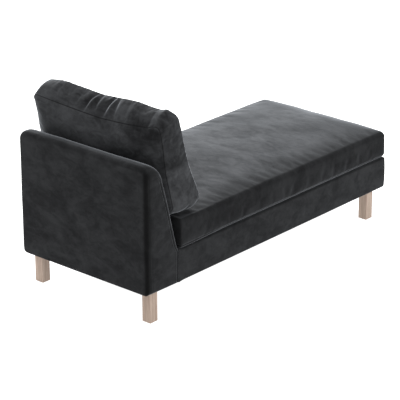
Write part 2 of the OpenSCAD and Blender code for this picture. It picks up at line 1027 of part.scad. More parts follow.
module pillow_form(inset) {
    width = pillow_width - 2 * inset;
    corner = pillow_corner_radius - inset;
    top = (pillow_height - pillow_front_drop) * cos(back_rake) + pillow_thickness * sin(back_rake);
    crown = pillow_z + top - inset;
    translate([pillow_shift, 0, 0])
    intersection() {
        across(width)
            polygon(pillow_outline(inset));
        translate([0, rear_y, crown - (crown - deck_z) / 2])
            rotate([90, 0, 0])
                linear_extrude(2 * back_depth + pillow_thickness)
                    union() {
                        rounded_rect(width, crown - deck_z, corner);
                        translate([0, -corner])
                            square([width, crown - deck_z], center = true);
                    }
    }
}

module back_cushion_core() {
    color(wadding_colour)
        pillow_form(cover_thickness + core_gap);
}

module back_cushion_cover() {
    color(velvet_light)
        difference() {
            pillow_form(0);
            pillow_form(cover_thickness);
            at_pillow_zip()
                zip_slot();
        }
}

module back_zip_chain() {
    color(black_cloth)
        at_pillow_zip()
            zip_chain();
}

module back_zip_slider() {
    color(dark_steel)
        at_pillow_zip()
            translate([zip_rest_x, 0, 0])
                zip_slider();
}

// Hangs straight down from its pin
module back_zip_pull() {
    color(dark_steel)
        at_pillow_zip()
            translate([zip_rest_x, 0, pin_z])
                rotate([0, -90, 0])
                    zip_pull();
}

// ---------------------------------------------------------------- assembly

rail_left();
rail_right();
rail_foot();
rail_head();
cross_rails();
corner_blocks();
block_screws();
leg_tee_nuts();
leg_bolts();
leg_rear_left();
leg_rear_right();
leg_foot_left();
leg_foot_right();
leg_glides();
zigzag_springs();
spring_clips();
spring_clip_nails();
spring_felt();
deck_pad();
deck_cloth();
base_wadding_left();
base_wadding_right();
base_wadding_foot();
base_cover_left();
base_cover_right();
base_cover_foot();
dust_cover();
dust_cover_staples();
back_board_left();
back_board_right();
back_post_left();
back_post_right();
back_top_rail();
back_lower_rail();
back_front_board();
back_rear_board();
back_front_foam();
back_top_foam();
back_rear_wadding();
back_wadding_left();
back_wadding_right();
back_cover_rear();
back_cover_top();
back_cover_front();
back_cover_side_left();
back_cover_side_right();
post_bolts();
post_bolt_washers();
post_tee_nuts();
seat_cushion_core();
seat_cushion_cover();
seat_zip_chain();
seat_zip_slider();
seat_zip_pull();
back_cushion_core();
back_cushion_cover();
back_zip_chain();
back_zip_slider();
back_zip_pull();
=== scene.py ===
import json
import math

import bpy
import numpy as np
from bpy.props import FloatProperty, FloatVectorProperty, IntProperty, PointerProperty
from mathutils import Matrix, Vector, noise


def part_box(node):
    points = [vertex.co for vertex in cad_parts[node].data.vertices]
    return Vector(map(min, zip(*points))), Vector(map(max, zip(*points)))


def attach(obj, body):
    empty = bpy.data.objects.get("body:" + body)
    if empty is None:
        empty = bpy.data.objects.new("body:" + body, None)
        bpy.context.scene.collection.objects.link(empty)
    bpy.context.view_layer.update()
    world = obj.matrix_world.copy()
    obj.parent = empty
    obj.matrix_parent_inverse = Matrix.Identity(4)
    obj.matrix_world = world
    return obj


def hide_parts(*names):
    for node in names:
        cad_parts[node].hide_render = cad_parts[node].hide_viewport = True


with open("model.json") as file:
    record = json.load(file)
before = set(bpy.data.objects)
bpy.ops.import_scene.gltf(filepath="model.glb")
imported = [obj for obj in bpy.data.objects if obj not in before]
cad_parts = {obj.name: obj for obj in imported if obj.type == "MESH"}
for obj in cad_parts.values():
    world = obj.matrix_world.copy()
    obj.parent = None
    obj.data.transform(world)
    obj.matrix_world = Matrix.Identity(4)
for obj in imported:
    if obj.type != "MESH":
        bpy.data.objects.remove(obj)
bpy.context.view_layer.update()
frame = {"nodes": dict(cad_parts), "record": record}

bl_info = {
    "name": "Velvet daybed",
    "version": (1, 0, 0),
    "blender": (4, 5, 0),
    "location": "View3D > Sidebar > Daybed",
    "description": "Upholsters a daybed frame with velvet covers and loose cushions",
    "category": "Object",
}

MM = 0.001

# ------------------------------------------------------------------ places taken from the frame

SIDE_LOW, SIDE_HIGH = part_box("back_cover_side_left")
BASE_LOW, BASE_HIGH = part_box("base_cover_left")
SEAT_LOW, SEAT_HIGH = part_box("seat_cushion_cover")
SEAT_ZIP_LOW, SEAT_ZIP_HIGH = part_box("seat_zip_chain")
BACK_ZIP_LOW, BACK_ZIP_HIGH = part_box("back_zip_chain")
DUST_LOW, DUST_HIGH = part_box("dust_cover")
LEGS = [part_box("leg_" + end) for end in ("rear_left", "rear_right", "foot_left", "foot_right")]

HALF_WIDTH = SIDE_HIGH[0]
REAR_Y = SIDE_HIGH[1]
SEAM_Y = SIDE_LOW[1]
BACK_DEPTH = REAR_Y - SEAM_Y
BACK_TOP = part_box("back_cover_top")[1][2]
BASE_Z = SIDE_LOW[2]
DECK_Z = BASE_HIGH[2]
FOOT_Y = BASE_LOW[1]
RAKE = math.radians(14.8)                # slope of the backrest's front from upright
REAR_TOP_RADIUS = 22 * MM                # turn from the backrest's rear into its top
FRONT_TOP_RADIUS = 75 * MM               # turn from the backrest's front into its top
UNDERSIDE_RISE = 2.6 * MM                # how far the cloth is drawn up inside the hem
TOOTH_RISE = 1.6 * MM                    # how far the zips' teeth stand out of the cloth


class DaybedVelvet(bpy.types.PropertyGroup):
    """Colour and surface of the velvet."""

    dark: FloatVectorProperty(
        name="Pile in shade", description="Colour of the pile brushed away from the light",
        default=(0.0066, 0.0068, 0.0074), min=0.0, max=1.0, size=3, subtype="COLOR")
    light: FloatVectorProperty(
        name="Pile in light", description="Colour of the pile brushed towards the light",
        default=(0.0170, 0.0176, 0.0188), min=0.0, max=1.0, size=3, subtype="COLOR")
    sheen: FloatProperty(
        name="Sheen", description="Strength of the pile's bright rim",
        default=0.9, min=0.0, max=1.0, subtype="FACTOR")
    crease: FloatProperty(
        name="Crease depth", description="Depth of the fine creases",
        default=1.3 * MM, min=0.0, max=5 * MM, unit="LENGTH")


class DaybedCovers(bpy.types.PropertyGroup):
    """Edges and seams of the fixed upholstery."""

    rear_edge: FloatProperty(
        name="Rear edge", description="Radius of the backrest's upright rear edges",
        default=16 * MM, min=3 * MM, max=30 * MM, unit="LENGTH")
    top_edge: FloatProperty(
        name="Shoulder", description="Radius of the backrest's upper side edges",
        default=42 * MM, min=5 * MM, max=45 * MM, unit="LENGTH")
    front_edge: FloatProperty(
        name="Front edge", description="Radius of the backrest's sloping side edges",
        default=13 * MM, min=3 * MM, max=30 * MM, unit="LENGTH")
    strip_wrap: FloatProperty(
        name="Strip on the side", description="Distance of the side panel's seam from the rear",
        default=19 * MM, min=8 * MM, max=30 * MM, unit="LENGTH")
    front_wrap: FloatProperty(
        name="Front seam inset", description="Distance of the side panel's seam from the sloping front",
        default=7 * MM, min=3 * MM, max=15 * MM, unit="LENGTH")
    seam_depth: FloatProperty(
        name="Seam depth", description="Depth of the groove along a seam",
        default=2.4 * MM, min=0.0, max=5 * MM, unit="LENGTH")
    hem: FloatProperty(
        name="Hem", description="Width of the cloth turned under the base",
        default=20 * MM, min=10 * MM, max=30 * MM, unit="LENGTH")


class DaybedCushions(bpy.types.PropertyGroup):
    """Shape of the loose cushions."""

    seat_edge: FloatProperty(
        name="Seat edge", description="Radius of the seat cushion's long edges",
        default=25 * MM, min=8 * MM, max=40 * MM, unit="LENGTH")
    seat_crown: FloatProperty(
        name="Seat crown", description="Rise of the seat cushion's middle above its edges",
        default=19 * MM, min=0.0, max=40 * MM, unit="LENGTH")
    pressure: FloatProperty(
        name="Pressure", description="Pressure of the filling against the cover",
        default=4.0, min=0.0, max=20.0)
    slack: FloatProperty(
        name="Slack", description="Spare cloth in the back cushion's cover",
        default=0.008, min=0.0, max=0.15, subtype="FACTOR")
    frames: IntProperty(
        name="Settling frames", description="Steps for which the cloth settles",
        default=20, min=5, max=60)


class DaybedStage(bpy.types.PropertyGroup):
    """Camera and lights."""

    camera_place: FloatVectorProperty(
        name="Camera place", description="Where the camera stands",
        default=(-5.898, 6.781, 3.857), size=3, unit="LENGTH")
    heading: FloatProperty(
        name="Heading", description="Direction of view in plan, from +X",
        default=math.radians(-48.642), unit="ROTATION")
    tilt: FloatProperty(
        name="Tilt", description="How far the camera looks down",
        default=math.radians(21.854), unit="ROTATION")
    roll: FloatProperty(
        name="Roll", description="Turn about the line of sight",
        default=math.radians(-0.279), unit="ROTATION")
    lens: FloatProperty(
        name="Lens", description="Focal length on a 36 mm sensor, in millimetres",
        default=177.9, min=20.0, max=400.0)


# ------------------------------------------------------------------ meshes

def grid_lines(low, high, near, pitch):
    """Coordinates from low to high: set offsets near both ends, and an even pitch between."""
    first = [low + n for n in near]
    last = [high - n for n in reversed(near)]
    count = max(1, round((last[0] - first[-1]) / pitch))
    return np.array(first + list(np.linspace(first[-1], last[0], count + 1)[1:-1]) + last)


def box_grid(nx, ny, nz):
    """Grid places and outward quads of a closed box with nx by ny by nz cells on its faces."""
    index = {}
    quads = []

    def at(i, j, k):
        return index.setdefault((i, j, k), len(index))

    for k, up in ((0, False), (nz, True)):
        for i in range(nx):
            for j in range(ny):
                q = [at(i, j, k), at(i + 1, j, k), at(i + 1, j + 1, k), at(i, j + 1, k)]
                quads.append(q if up else q[::-1])
    for i, up in ((0, False), (nx, True)):
        for j in range(ny):
            for k in range(nz):
                q = [at(i, j, k), at(i, j + 1, k), at(i, j + 1, k + 1), at(i, j, k + 1)]
                quads.append(q if up else q[::-1])
    for j, up in ((0, False), (ny, True)):
        for i in range(nx):
            for k in range(nz):
                q = [at(i, j, k), at(i, j, k + 1), at(i + 1, j, k + 1), at(i + 1, j, k)]
                quads.append(q if up else q[::-1])
    return np.array(list(index)), quads


def new_piece(name, places, faces, smooth=True):
    mesh = bpy.data.meshes.new(name)
    mesh.from_pydata([tuple(p) for p in places], [], [tuple(int(v) for v in f) for f in faces])
    mesh.update()
    if smooth:
        mesh.shade_smooth()
    piece = bpy.data.objects.new(name, mesh)
    bpy.context.scene.collection.objects.link(piece)
    return piece


def read_places(mesh):
    flat = np.empty(len(mesh.vertices) * 3)
    mesh.vertices.foreach_get("co", flat)
    return flat.reshape(-1, 3)


def read_normals(mesh):
    flat = np.empty(len(mesh.vertices) * 3)
    mesh.vertices.foreach_get("normal", flat)
    return flat.reshape(-1, 3)


def write_places(mesh, places):
    mesh.vertices.foreach_set("co", np.asarray(places, dtype=float).ravel())
    mesh.update()


def smoothstep(low, high, x):
    """Eases from 0 at low to 1 at high."""
    t = np.clip((x - low) / (high - low), 0.0, 1.0)
    return t * t * (3 - 2 * t)


def turned_corner(du, dv, slope=0.0):
    """Factor that pulls a corner in to an arc; du and dv are measured from its centre, over its radius."""
    angle = np.arctan2(dv, du)
    inside = (angle > slope) & (angle < math.pi / 2)
    safe = np.clip(angle, slope + 1e-6, math.pi / 2 - 1e-6)
    reach = np.minimum(1 / np.sin(safe), 1 / np.cos(safe - slope))
    return np.where(inside, 1 / reach, 1.0)


def ripple(places, scale, seed, stretch=(1.0, 1.0, 1.0)):
    """Smooth noise from -1 to 1 at every place; scale is its wavelength in metres."""
    shift = Vector((seed * 7.31, seed * 3.17, seed * 5.73))
    wave = Vector(stretch) / scale
    return np.array([
        noise.noise(Vector((p[0] * wave[0], p[1] * wave[1], p[2] * wave[2])) + shift)
        for p in places
    ])


def settle_noise(piece, depths, keep):
    """Moves the surface in and out along its normals, by the depths of several wavelengths."""
    mesh = piece.data
    places = read_places(mesh)
    normals = read_normals(mesh)
    move = np.zeros(len(places))
    for seed, (scale, depth, stretch) in enumerate(depths):
        move += depth * ripple(places, scale, seed + 1, stretch)
    write_places(mesh, places + normals * (move * keep(places))[:, None])


def mark_seams_and_painted_shade(piece, strength):
    """Stores how dark the velvet reads at each place: along its seams, and where shade is painted into it."""
    mark = piece.data.attributes.new("seam", "FLOAT", "POINT")
    mark.data.foreach_set("value", np.asarray(strength, dtype=float))


def subdivided(piece, levels=1):
    """Smooths a piece with a subdivision of the same level in the view and in the render."""
    modifier = piece.modifiers.new("Subdivision", "SUBSURF")
    modifier.levels = levels
    modifier.render_levels = levels
    return piece


def settled_cloth(piece, pin, pressure, slack, frames, cap, bend=0.5, stiffness=15.0):
    """Lets a closed cover fill out under pressure, with its pinned places held, and keeps the result."""
    mesh = piece.data
    start = read_places(mesh)
    group = piece.vertex_groups.new(name="held")
    for weight in np.unique(np.round(pin, 2)):
        if weight > 0:
            group.add([int(i) for i in np.nonzero(np.round(pin, 2) == weight)[0]], float(weight), "REPLACE")
    modifier = piece.modifiers.new("Cloth", "CLOTH")
    cloth = modifier.settings
    cloth.quality = 6
    cloth.mass = 0.3
    cloth.vertex_group_mass = "held"
    cloth.pin_stiffness = 1.0
    cloth.tension_stiffness = stiffness
    cloth.compression_stiffness = stiffness
    cloth.shear_stiffness = stiffness / 2
    cloth.bending_stiffness = bend
    cloth.tension_damping = 10
    cloth.compression_damping = 10
    cloth.shear_damping = 10
    cloth.use_pressure = True
    cloth.uniform_pressure_force = pressure
    cloth.shrink_min = -slack
    cloth.effector_weights.gravity = 0.0
    modifier.collision_settings.use_collision = False
    modifier.point_cache.frame_end = frames + 1
    scene = bpy.context.scene
    for step in range(1, frames + 1):
        scene.frame_set(step)
    settled = bpy.data.meshes.new_from_object(
        piece.evaluated_get(bpy.context.evaluated_depsgraph_get()))
    end = read_places(settled)
    piece.modifiers.remove(modifier)
    piece.vertex_groups.clear()
    bpy.data.meshes.remove(settled)
    scene.frame_set(1)
    move = end - start
    length = np.linalg.norm(move, axis=1)
    move *= (cap * np.tanh(length / cap) / np.maximum(length, 1e-9))[:, None]
    write_places(mesh, start + move)
    return piece


# ------------------------------------------------------------------ materials

class Finish:
    """A node material with a few short ways to add and join nodes."""

    def __init__(self, name):
        self.material = bpy.data.materials.new(name)
        self.material.use_nodes = True
        self.tree = self.material.node_tree
        self.tree.nodes.clear()
        self.shader = self.add("ShaderNodeBsdfPrincipled")
        output = self.add("ShaderNodeOutputMaterial")
        self.join(self.shader.outputs[0], output.inputs["Surface"])
        self.place = self.add("ShaderNodeTexCoord").outputs["Object"]

    def add(self, kind, **settings):
        node = self.tree.nodes.new(kind)
        for key, value in settings.items():
            setattr(node, key, value)
        return node

    def join(self, source, target):
        self.tree.links.new(source, target)

    def mapped(self, scale=(1, 1, 1), rotation=(0, 0, 0), source=None):
        node = self.add("ShaderNodeMapping")
        node.inputs["Scale"].default_value = scale
        node.inputs["Rotation"].default_value = rotation
        self.join(source or self.place, node.inputs["Vector"])
        return node.outputs[0]

    def noise(self, scale, detail=3.0, roughness=0.5, distortion=0.0, source=None, kind="FBM"):
        node = self.add("ShaderNodeTexNoise", noise_type=kind)
        node.inputs["Scale"].default_value = scale
        node.inputs["Detail"].default_value = detail
        node.inputs["Roughness"].default_value = roughness
        node.inputs["Distortion"].default_value = distortion
        self.join(source or self.place, node.inputs["Vector"])
        return node.outputs["Fac"]

    def math(self, operation, a, b=None, clamp=False):
        node = self.add("ShaderNodeMath", operation=operation, use_clamp=clamp)
        for socket, value in zip(node.inputs, (a, b)):
            if isinstance(value, (int, float)):
                socket.default_value = value
            elif value is not None:
                self.join(value, socket)
        return node.outputs[0]

    def spread(self, value, low, high, to_low=0.0, to_high=1.0):
        node = self.add("ShaderNodeMapRange", interpolation_type="SMOOTHSTEP")
        for key, number in (("From Min", low), ("From Max", high), ("To Min", to_low), ("To Max", to_high)):
            node.inputs[key].default_value = number
        self.join(value, node.inputs["Value"])
        return node.outputs["Result"]

    def mix(self, factor, a, b):
        node = self.add("ShaderNodeMix", data_type="RGBA")
        self.join(factor, node.inputs["Factor"])
        for socket, value in ((node.inputs["A"], a), (node.inputs["B"], b)):
            if hasattr(value, "is_output"):
                self.join(value, socket)
            else:
                socket.default_value = (*value, 1.0)
        return node.outputs["Result"]

    def bump(self, height, depth, strength=1.0, normal=None):
        node = self.add("ShaderNodeBump")
        node.inputs["Strength"].default_value = strength
        node.inputs["Distance"].default_value = depth
        self.join(height, node.inputs["Height"])
        if normal is not None:
            self.join(normal, node.inputs["Normal"])
        return node.outputs["Normal"]

    def set(self, **values):
        for key, value in values.items():
            socket = self.shader.inputs[key.replace("_", " ")]
            if hasattr(value, "is_output"):
                self.join(value, socket)
            else:
                socket.default_value = value
        return self


# Near-black that the velvet is pulled towards at its seams and where shade is painted into it
SEAM_AND_PAINTED_SHADE_COLOUR = (0.0012, 0.0012, 0.0014)
SHEEN_TINT = (0.64, 0.68, 0.73, 1.0)


def velvet(name, lift=1.0, crease=1.0, nap=(1.0, 1.0, 1.0), contrast=1.0, cloud_scale=9.0):
    """Velvet: a clouded nap, brushed streaks, fine pile, short creases, dark seams, and painted shade where a
    piece's seam attribute asks for it.
    """
    look = bpy.context.scene.daybed_velvet
    f = Finish(name)
    brushed = f.mapped(nap, (0.0, 0.0, math.radians(48)))
    cloud = f.noise(cloud_scale, detail=4, roughness=0.6, distortion=0.7, source=brushed)
    streak = f.noise(28.0, detail=5, roughness=0.62, distortion=0.9, source=brushed)
    pile = f.noise(620.0, detail=2, roughness=0.7)
    tone = f.math("ADD", f.math("MULTIPLY", cloud, 0.62), f.math("MULTIPLY", streak, 0.38))
    tone = f.spread(tone, 0.3, 0.7)
    tone = f.math("ADD", tone, f.math("MULTIPLY", f.math("SUBTRACT", pile, 0.5), 0.5), clamp=True)
    # The seam attribute darkens the velvet along seams, and also carries painted shade where a piece marks it
    seam = f.add("ShaderNodeAttribute", attribute_name="seam").outputs["Fac"]
    dark = tuple(c * lift / contrast for c in look.dark)
    light = tuple(c * lift * contrast for c in look.light)
    shade = f.spread(seam, 0.1, 1.0, 0.0, 0.95)
    f.set(Base_Color=f.mix(shade, f.mix(tone, dark, light), SEAM_AND_PAINTED_SHADE_COLOUR))
    folds = f.noise(11.0, detail=3, roughness=0.5, distortion=1.6, kind="RIDGED_MULTIFRACTAL", source=brushed)
    soft = f.noise(20.0, detail=3, roughness=0.5, distortion=0.6, source=brushed)
    normal = f.bump(folds, look.crease * crease, 0.5)
    normal = f.bump(soft, look.crease * crease, 0.6, normal)
    normal = f.bump(pile, 0.25 * MM, 0.35, normal)
    f.join(normal, f.shader.inputs["Normal"])
    f.join(f.spread(tone, 0.0, 1.0, 0.98, 0.86), f.shader.inputs["Roughness"])
    f.shader.inputs["Sheen Weight"].default_value = look.sheen
    f.shader.inputs["Sheen Roughness"].default_value = 0.30
    f.shader.inputs["Sheen Tint"].default_value = SHEEN_TINT
    f.shader.inputs["Specular IOR Level"].default_value = 0.12
    return f.material


def grained_wood(name, pale, deep, along="Z", ring=1.0):
    """Straight-grained wood with fine pores, a few darker bands and a washed surface."""
    f = Finish(name)
    stretch = {"X": (0.06, 1.0, 1.0), "Y": (1.0, 0.06, 1.0), "Z": (1.0, 1.0, 0.06)}[along]
    grain = f.noise(170.0 * ring, detail=5, roughness=0.65, distortion=0.4, source=f.mapped(stretch))
    band = f.noise(32.0 * ring, detail=3, roughness=0.5, distortion=1.2, source=f.mapped(stretch))
    pore_stretch = tuple(s * (0.4 if s < 1 else 1) for s in stretch)
    pores = f.noise(1500.0, detail=1, roughness=0.5, source=f.mapped(pore_stretch))
    tone = f.math("ADD", f.math("MULTIPLY", grain, 0.55), f.math("MULTIPLY", band, 0.45))
    tone = f.spread(tone, 0.34, 0.66)
    colour = f.mix(tone, deep, pale)
    dark_pore = f.spread(pores, 0.56, 0.70)
    colour = f.mix(f.math("MULTIPLY", dark_pore, 0.28), colour, tuple(c * 0.55 for c in deep))
    f.set(Base_Color=colour, Roughness=f.spread(tone, 0.0, 1.0, 0.66, 0.50))
    normal = f.bump(grain, 0.25 * MM, 0.5)
    normal = f.bump(pores, 0.12 * MM, 0.4, normal)
    f.join(normal, f.shader.inputs["Normal"])
    return f.material


def layered_board(name, pale, deep):
    """Board with pressed chips and thin layers."""
    f = Finish(name)
    chips = f.add("ShaderNodeTexVoronoi", feature="F1")
    chips.inputs["Scale"].default_value = 140.0
    f.join(f.mapped((1.0, 0.5, 0.5)), chips.inputs["Vector"])
    flecks = f.noise(260.0, detail=3)
    tone = f.math("ADD", f.math("MULTIPLY", chips.outputs["Distance"], 0.7), f.math("MULTIPLY", flecks, 0.5))
    tone = f.spread(tone, 0.2, 0.85)
    f.set(Base_Color=f.mix(tone, deep, pale), Roughness=f.spread(flecks, 0.3, 0.7, 0.7, 0.85))
    f.join(f.bump(tone, 0.2 * MM, 0.5), f.shader.inputs["Normal"])
    return f.material


def drawn_steel(name, colour, roughness=0.32, metallic=1.0, scratch=(1.0, 1.0, 0.1)):
    """Plated or painted steel with drawing marks and faint tarnish."""
    f = Finish(name)
    marks = f.noise(900.0, detail=2, source=f.mapped(scratch))
    tarnish = f.noise(45.0, detail=4, roughness=0.6)
    tone = f.math("ADD", f.math("MULTIPLY", marks, 0.4), f.math("MULTIPLY", tarnish, 0.6))
    tone = f.spread(tone, 0.35, 0.65)
    f.set(Base_Color=f.mix(tone, tuple(c * 0.72 for c in colour), colour), Metallic=metallic,
          Roughness=f.spread(tone, 0.0, 1.0, roughness + 0.14, roughness))
    f.join(f.bump(marks, 0.05 * MM, 0.35), f.shader.inputs["Normal"])
    return f.material


def matted_cloth(name, colour, scale=420.0, depth=0.5 * MM):
    """Felt, wadding or bonded cloth: short fibres lying every way."""
    f = Finish(name)
    fibre = f.noise(scale, detail=4, roughness=0.7, distortion=2.0)
    lump = f.noise(scale / 14, detail=3)
    tone = f.spread(f.math("ADD", f.math("MULTIPLY", fibre, 0.6), f.math("MULTIPLY", lump, 0.4)), 0.35, 0.65)
    f.set(Base_Color=f.mix(tone, tuple(c * 0.7 for c in colour), colour),
          Roughness=f.spread(fibre, 0.3, 0.7, 0.85, 0.98))
    f.join(f.bump(fibre, depth, 0.7), f.shader.inputs["Normal"])
    f.shader.inputs["Sheen Weight"].default_value = 0.2
    f.shader.inputs["Specular IOR Level"].default_value = 0.2
    return f.material


def cut_foam(name, colour):
    """Open-celled foam."""
    f = Finish(name)
    cells = f.add("ShaderNodeTexVoronoi", feature="DISTANCE_TO_EDGE")
    cells.inputs["Scale"].default_value = 650.0
    f.join(f.place, cells.inputs["Vector"])
    wall = f.spread(cells.outputs["Distance"], 0.02, 0.3)
    age = f.noise(8.0, detail=3)
    tone = f.math("MULTIPLY", wall, f.spread(age, 0.3, 0.7, 0.8, 1.0))
    f.set(Base_Color=f.mix(tone, colour, tuple(c * 0.78 for c in colour)),
          Roughness=f.spread(age, 0.3, 0.7, 0.9, 0.97))
    f.join(f.bump(wall, 0.4 * MM, 0.6), f.shader.inputs["Normal"])
    return f.material


FINISHES = {
    "leg_wood": lambda: grained_wood("washed_leg_wood", (0.41, 0.313, 0.248), (0.27, 0.194, 0.150)),
    "frame_softwood": lambda: grained_wood("planed_softwood", (0.66, 0.47, 0.26), (0.48, 0.30, 0.14), "Y", 0.6),
    "frame_board": lambda: layered_board("pressed_board", (0.42, 0.28, 0.16), (0.22, 0.13, 0.07)),
    "dark_steel": lambda: drawn_steel("blackened_steel", (0.05, 0.05, 0.055), 0.45, 0.6),
    "spring_steel": lambda: drawn_steel("spring_wire", (0.34, 0.34, 0.35), 0.36, 1.0, (0.1, 1.0, 1.0)),
    "zinc_steel": lambda: drawn_steel("zinc_plated_steel", (0.58, 0.59, 0.61), 0.3),
    "felt": lambda: matted_cloth("grey_felt", (0.10, 0.105, 0.115)),
    "wadding": lambda: matted_cloth("white_wadding", (0.80, 0.80, 0.77), 240.0, 1.2 * MM),
    "foam": lambda: cut_foam("cut_foam", (0.78, 0.72, 0.55)),
    "dust_cloth": lambda: matted_cloth("bonded_dust_cloth", (0.022, 0.022, 0.022), 520.0, 0.2 * MM),
    "glide_felt": lambda: matted_cloth("felt_glide", (0.035, 0.033, 0.031), 700.0, 0.3 * MM),
    # Painted light and shade: the body's velvet is dimmed (lift 0.89) and the cushions' velvet lifted brighter
    # (lift 1.4), though they are one cloth
    "body_velvet": lambda: velvet("body_velvet", 0.89, 1.0, (0.8, 1.0, 1.3), 1.15),
    "deck_velvet": lambda: velvet("deck_velvet", 1.0, 0.6),
    "cushion_velvet": lambda: velvet("cushion_velvet", 1.4, 0.8, (0.6, 1.1, 1.0), 1.8, 5.0),
    "zip_tape": lambda: matted_cloth("zip_tape", (0.02, 0.02, 0.022), 900.0, 0.15 * MM),
    "zip_metal": lambda: drawn_steel("gunmetal_zip", (0.12, 0.12, 0.13), 0.34),
}
made_finishes = {}


def finish(slot):
    if slot not in made_finishes:
        made_finishes[slot] = FINISHES[slot]()
    return made_finishes[slot]


def dressed(piece, slot, body):
    """Gives a new piece its finish, its slot and the body that it moves with."""
    piece.data.materials.append(finish(slot))
    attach(piece, body)
    return piece


# ------------------------------------------------------------------ the backrest and the base

def rounded_inset(radius, from_edge):
    """How far a rounded edge has fallen back, at a distance from the side plane."""
    over = np.clip(radius - from_edge, 0.0, radius)
    return radius - np.sqrt(np.maximum(radius * radius - over * over, 0.0))


def front_depth(z):
    """Distance of the backrest's sloping front from its rear, at a height."""
    return BACK_DEPTH - np.maximum(z - DECK_Z, 0.0) * math.tan(RAKE)


def back_places(grid_x, grid_t, grid_z, keys, sizes):
    """Maps a box grid to the backrest: across the width, from rear to front, and up."""
    x = grid_x[keys[:, 0]]
    t = grid_t[keys[:, 1]]
    up = grid_z[keys[:, 2]]
    from_side = HALF_WIDTH - np.abs(x)
    # The lower corners are rounded, and one rear corner more than the other
    corner_radius = 7 * MM
    rear_corner = np.where(x > 0, 30 * MM, 12 * MM)
    z_low = BASE_Z + rounded_inset(corner_radius, from_side) \
        + rounded_inset(rear_corner, from_side) * (1 - t) ** 2
    z_high = BACK_TOP - rounded_inset(sizes.top_edge, from_side)
    z = z_low + (z_high - z_low) * up
    # The front edge is crisp beside the base, and turns softly above the deck
    crisp = 2.5 * MM
    edge = crisp + (sizes.front_edge - crisp) * smoothstep(DECK_Z - 5 * MM, DECK_Z + 25 * MM, z)
    front_inset = rounded_inset(edge, from_side)
    d_low = rounded_inset(sizes.rear_edge, from_side)
    d_high = front_depth(z) - front_inset
    d = d_low + (d_high - d_low) * t
    rear_d, rear_z = d_low + REAR_TOP_RADIUS, z_high - REAR_TOP_RADIUS
    k = turned_corner(rear_d - d, z - rear_z)
    d, z = rear_d + (d - rear_d) * k, rear_z + (z - rear_z) * k
    front_z = z_high - FRONT_TOP_RADIUS
    front_d = front_depth(front_z) - front_inset - FRONT_TOP_RADIUS / math.cos(RAKE)
    k = turned_corner(d - front_d, z - front_z, RAKE)
    d, z = front_d + (d - front_d) * k, front_z + (z - front_z) * k
    return np.stack([x, REAR_Y - d, z], axis=1), d - d_low, front_depth(z) - front_inset - d, z_high - z


class DAYBED_OT_backrest(bpy.types.Operator):
    """Makes the padded backrest with its wrapped strip and its two side panels."""

    bl_idname = "daybed.backrest"
    bl_label = "Backrest"

    def execute(self, context):
        sizes = context.scene.daybed_covers
        side_near = [0, 0.5 * MM, 1.6 * MM, 3.5 * MM, 6 * MM, 9.5 * MM, 14 * MM, 19 * MM, 21.5 * MM, 30 * MM]
        rim = [0, 2 * MM, 4 * MM, 6 * MM, 7 * MM, 8 * MM, 10 * MM, 13 * MM, 16 * MM, 18 * MM, 19 * MM,
               20 * MM, 22 * MM, 26 * MM]
        grid_x = grid_lines(-HALF_WIDTH, HALF_WIDTH, side_near, 14 * MM)
        grid_t = grid_lines(0, BACK_DEPTH, rim, 10 * MM) / BACK_DEPTH
        height = BACK_TOP - BASE_Z
        grid_z = grid_lines(0, height, rim + [40 * MM, 52 * MM, 64 * MM, 78 * MM], 13 * MM) / height
        keys, quads = box_grid(len(grid_x) - 1, len(grid_t) - 1, len(grid_z) - 1)
        places, from_rear, from_front, from_top = back_places(grid_x, grid_t, grid_z, keys, sizes)
        on_side = (keys[:, 0] == 0) | (keys[:, 0] == len(grid_x) - 1)
        rim_distance = np.minimum(np.minimum(from_rear, from_front), from_top)
        from_strip = np.minimum(from_rear, from_top) - sizes.strip_wrap
        from_front_seam = from_front - sizes.front_wrap
        from_seam = np.minimum(from_strip, from_front_seam)
        plain = np.where(from_front_seam > from_seam + 1e-6, 0.35, 1.0)
        groove = plain * np.exp(-(from_seam / (1.6 * MM)) ** 2)
        swell = 2.5 * MM * smoothstep(7 * MM, 70 * MM, rim_distance) \
            * smoothstep(0.0, 0.05, places[:, 2] - BASE_Z)
        outward = np.where(on_side, swell - sizes.seam_depth * groove, 0.0)
        places[:, 0] += np.sign(places[:, 0]) * outward
        # The bottom is drawn up inside the hem
        under = (keys[:, 2] == 0) & (HALF_WIDTH - np.abs(places[:, 0]) > sizes.hem) \
            & (REAR_Y - places[:, 1] > sizes.hem)
        places[under, 2] = BASE_Z + UNDERSIDE_RISE
        places[:, 1] += np.where((keys[:, 1] == len(grid_t) - 1) & (places[:, 2] < DECK_Z), 0.2 * MM, 0.0)
        piece = new_piece("backrest_upholstery", places, quads)
        # Painted shade darkens the velvet along one upright rear corner, on the -X side
        from_corner = from_rear + HALF_WIDTH - np.abs(places[:, 0])
        brushed = np.exp(-(from_corner / (22 * MM)) ** 2) * (places[:, 0] < 0)
        mark_seams_and_painted_shade(piece, np.maximum(np.where(on_side, groove, 0.0), brushed))

        def keep(p):
            return smoothstep(0.0, 0.05, p[:, 2] - BASE_Z) * smoothstep(0.0, 0.03, p[:, 1] - SEAM_Y + 0.002)

        settle_noise(piece, [
            (0.30, 2.6 * MM, (1, 1, 1)), (0.11, 1.3 * MM, (1, 1, 1)), (0.045, 0.5 * MM, (1, 1, 0.6)),
        ], keep)
        subdivided(piece)
        dressed(piece, "body_velvet", "frame")
        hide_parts("back_cover_rear", "back_cover_top", "back_cover_front", "back_cover_side_left",
                    "back_cover_side_right", "back_wadding_left", "back_wadding_right", "back_rear_wadding",
                    "back_top_foam", "back_front_foam")
        return {"FINISHED"}


def round_box(places, low, high, radius):
    """Rounds every edge of a box, by a radius for X and Y and one for Z."""
    r = np.asarray(radius)
    inner = np.clip(places, np.array(low) + r, np.array(high) - r)
    away = (places - inner) / r
    length = np.linalg.norm(away, axis=1)
    span = np.max(np.abs(away), axis=1)
    scale = np.where(length > 1e-9, span / np.maximum(length, 1e-9), 1.0)
    return inner + away * r * scale[:, None]


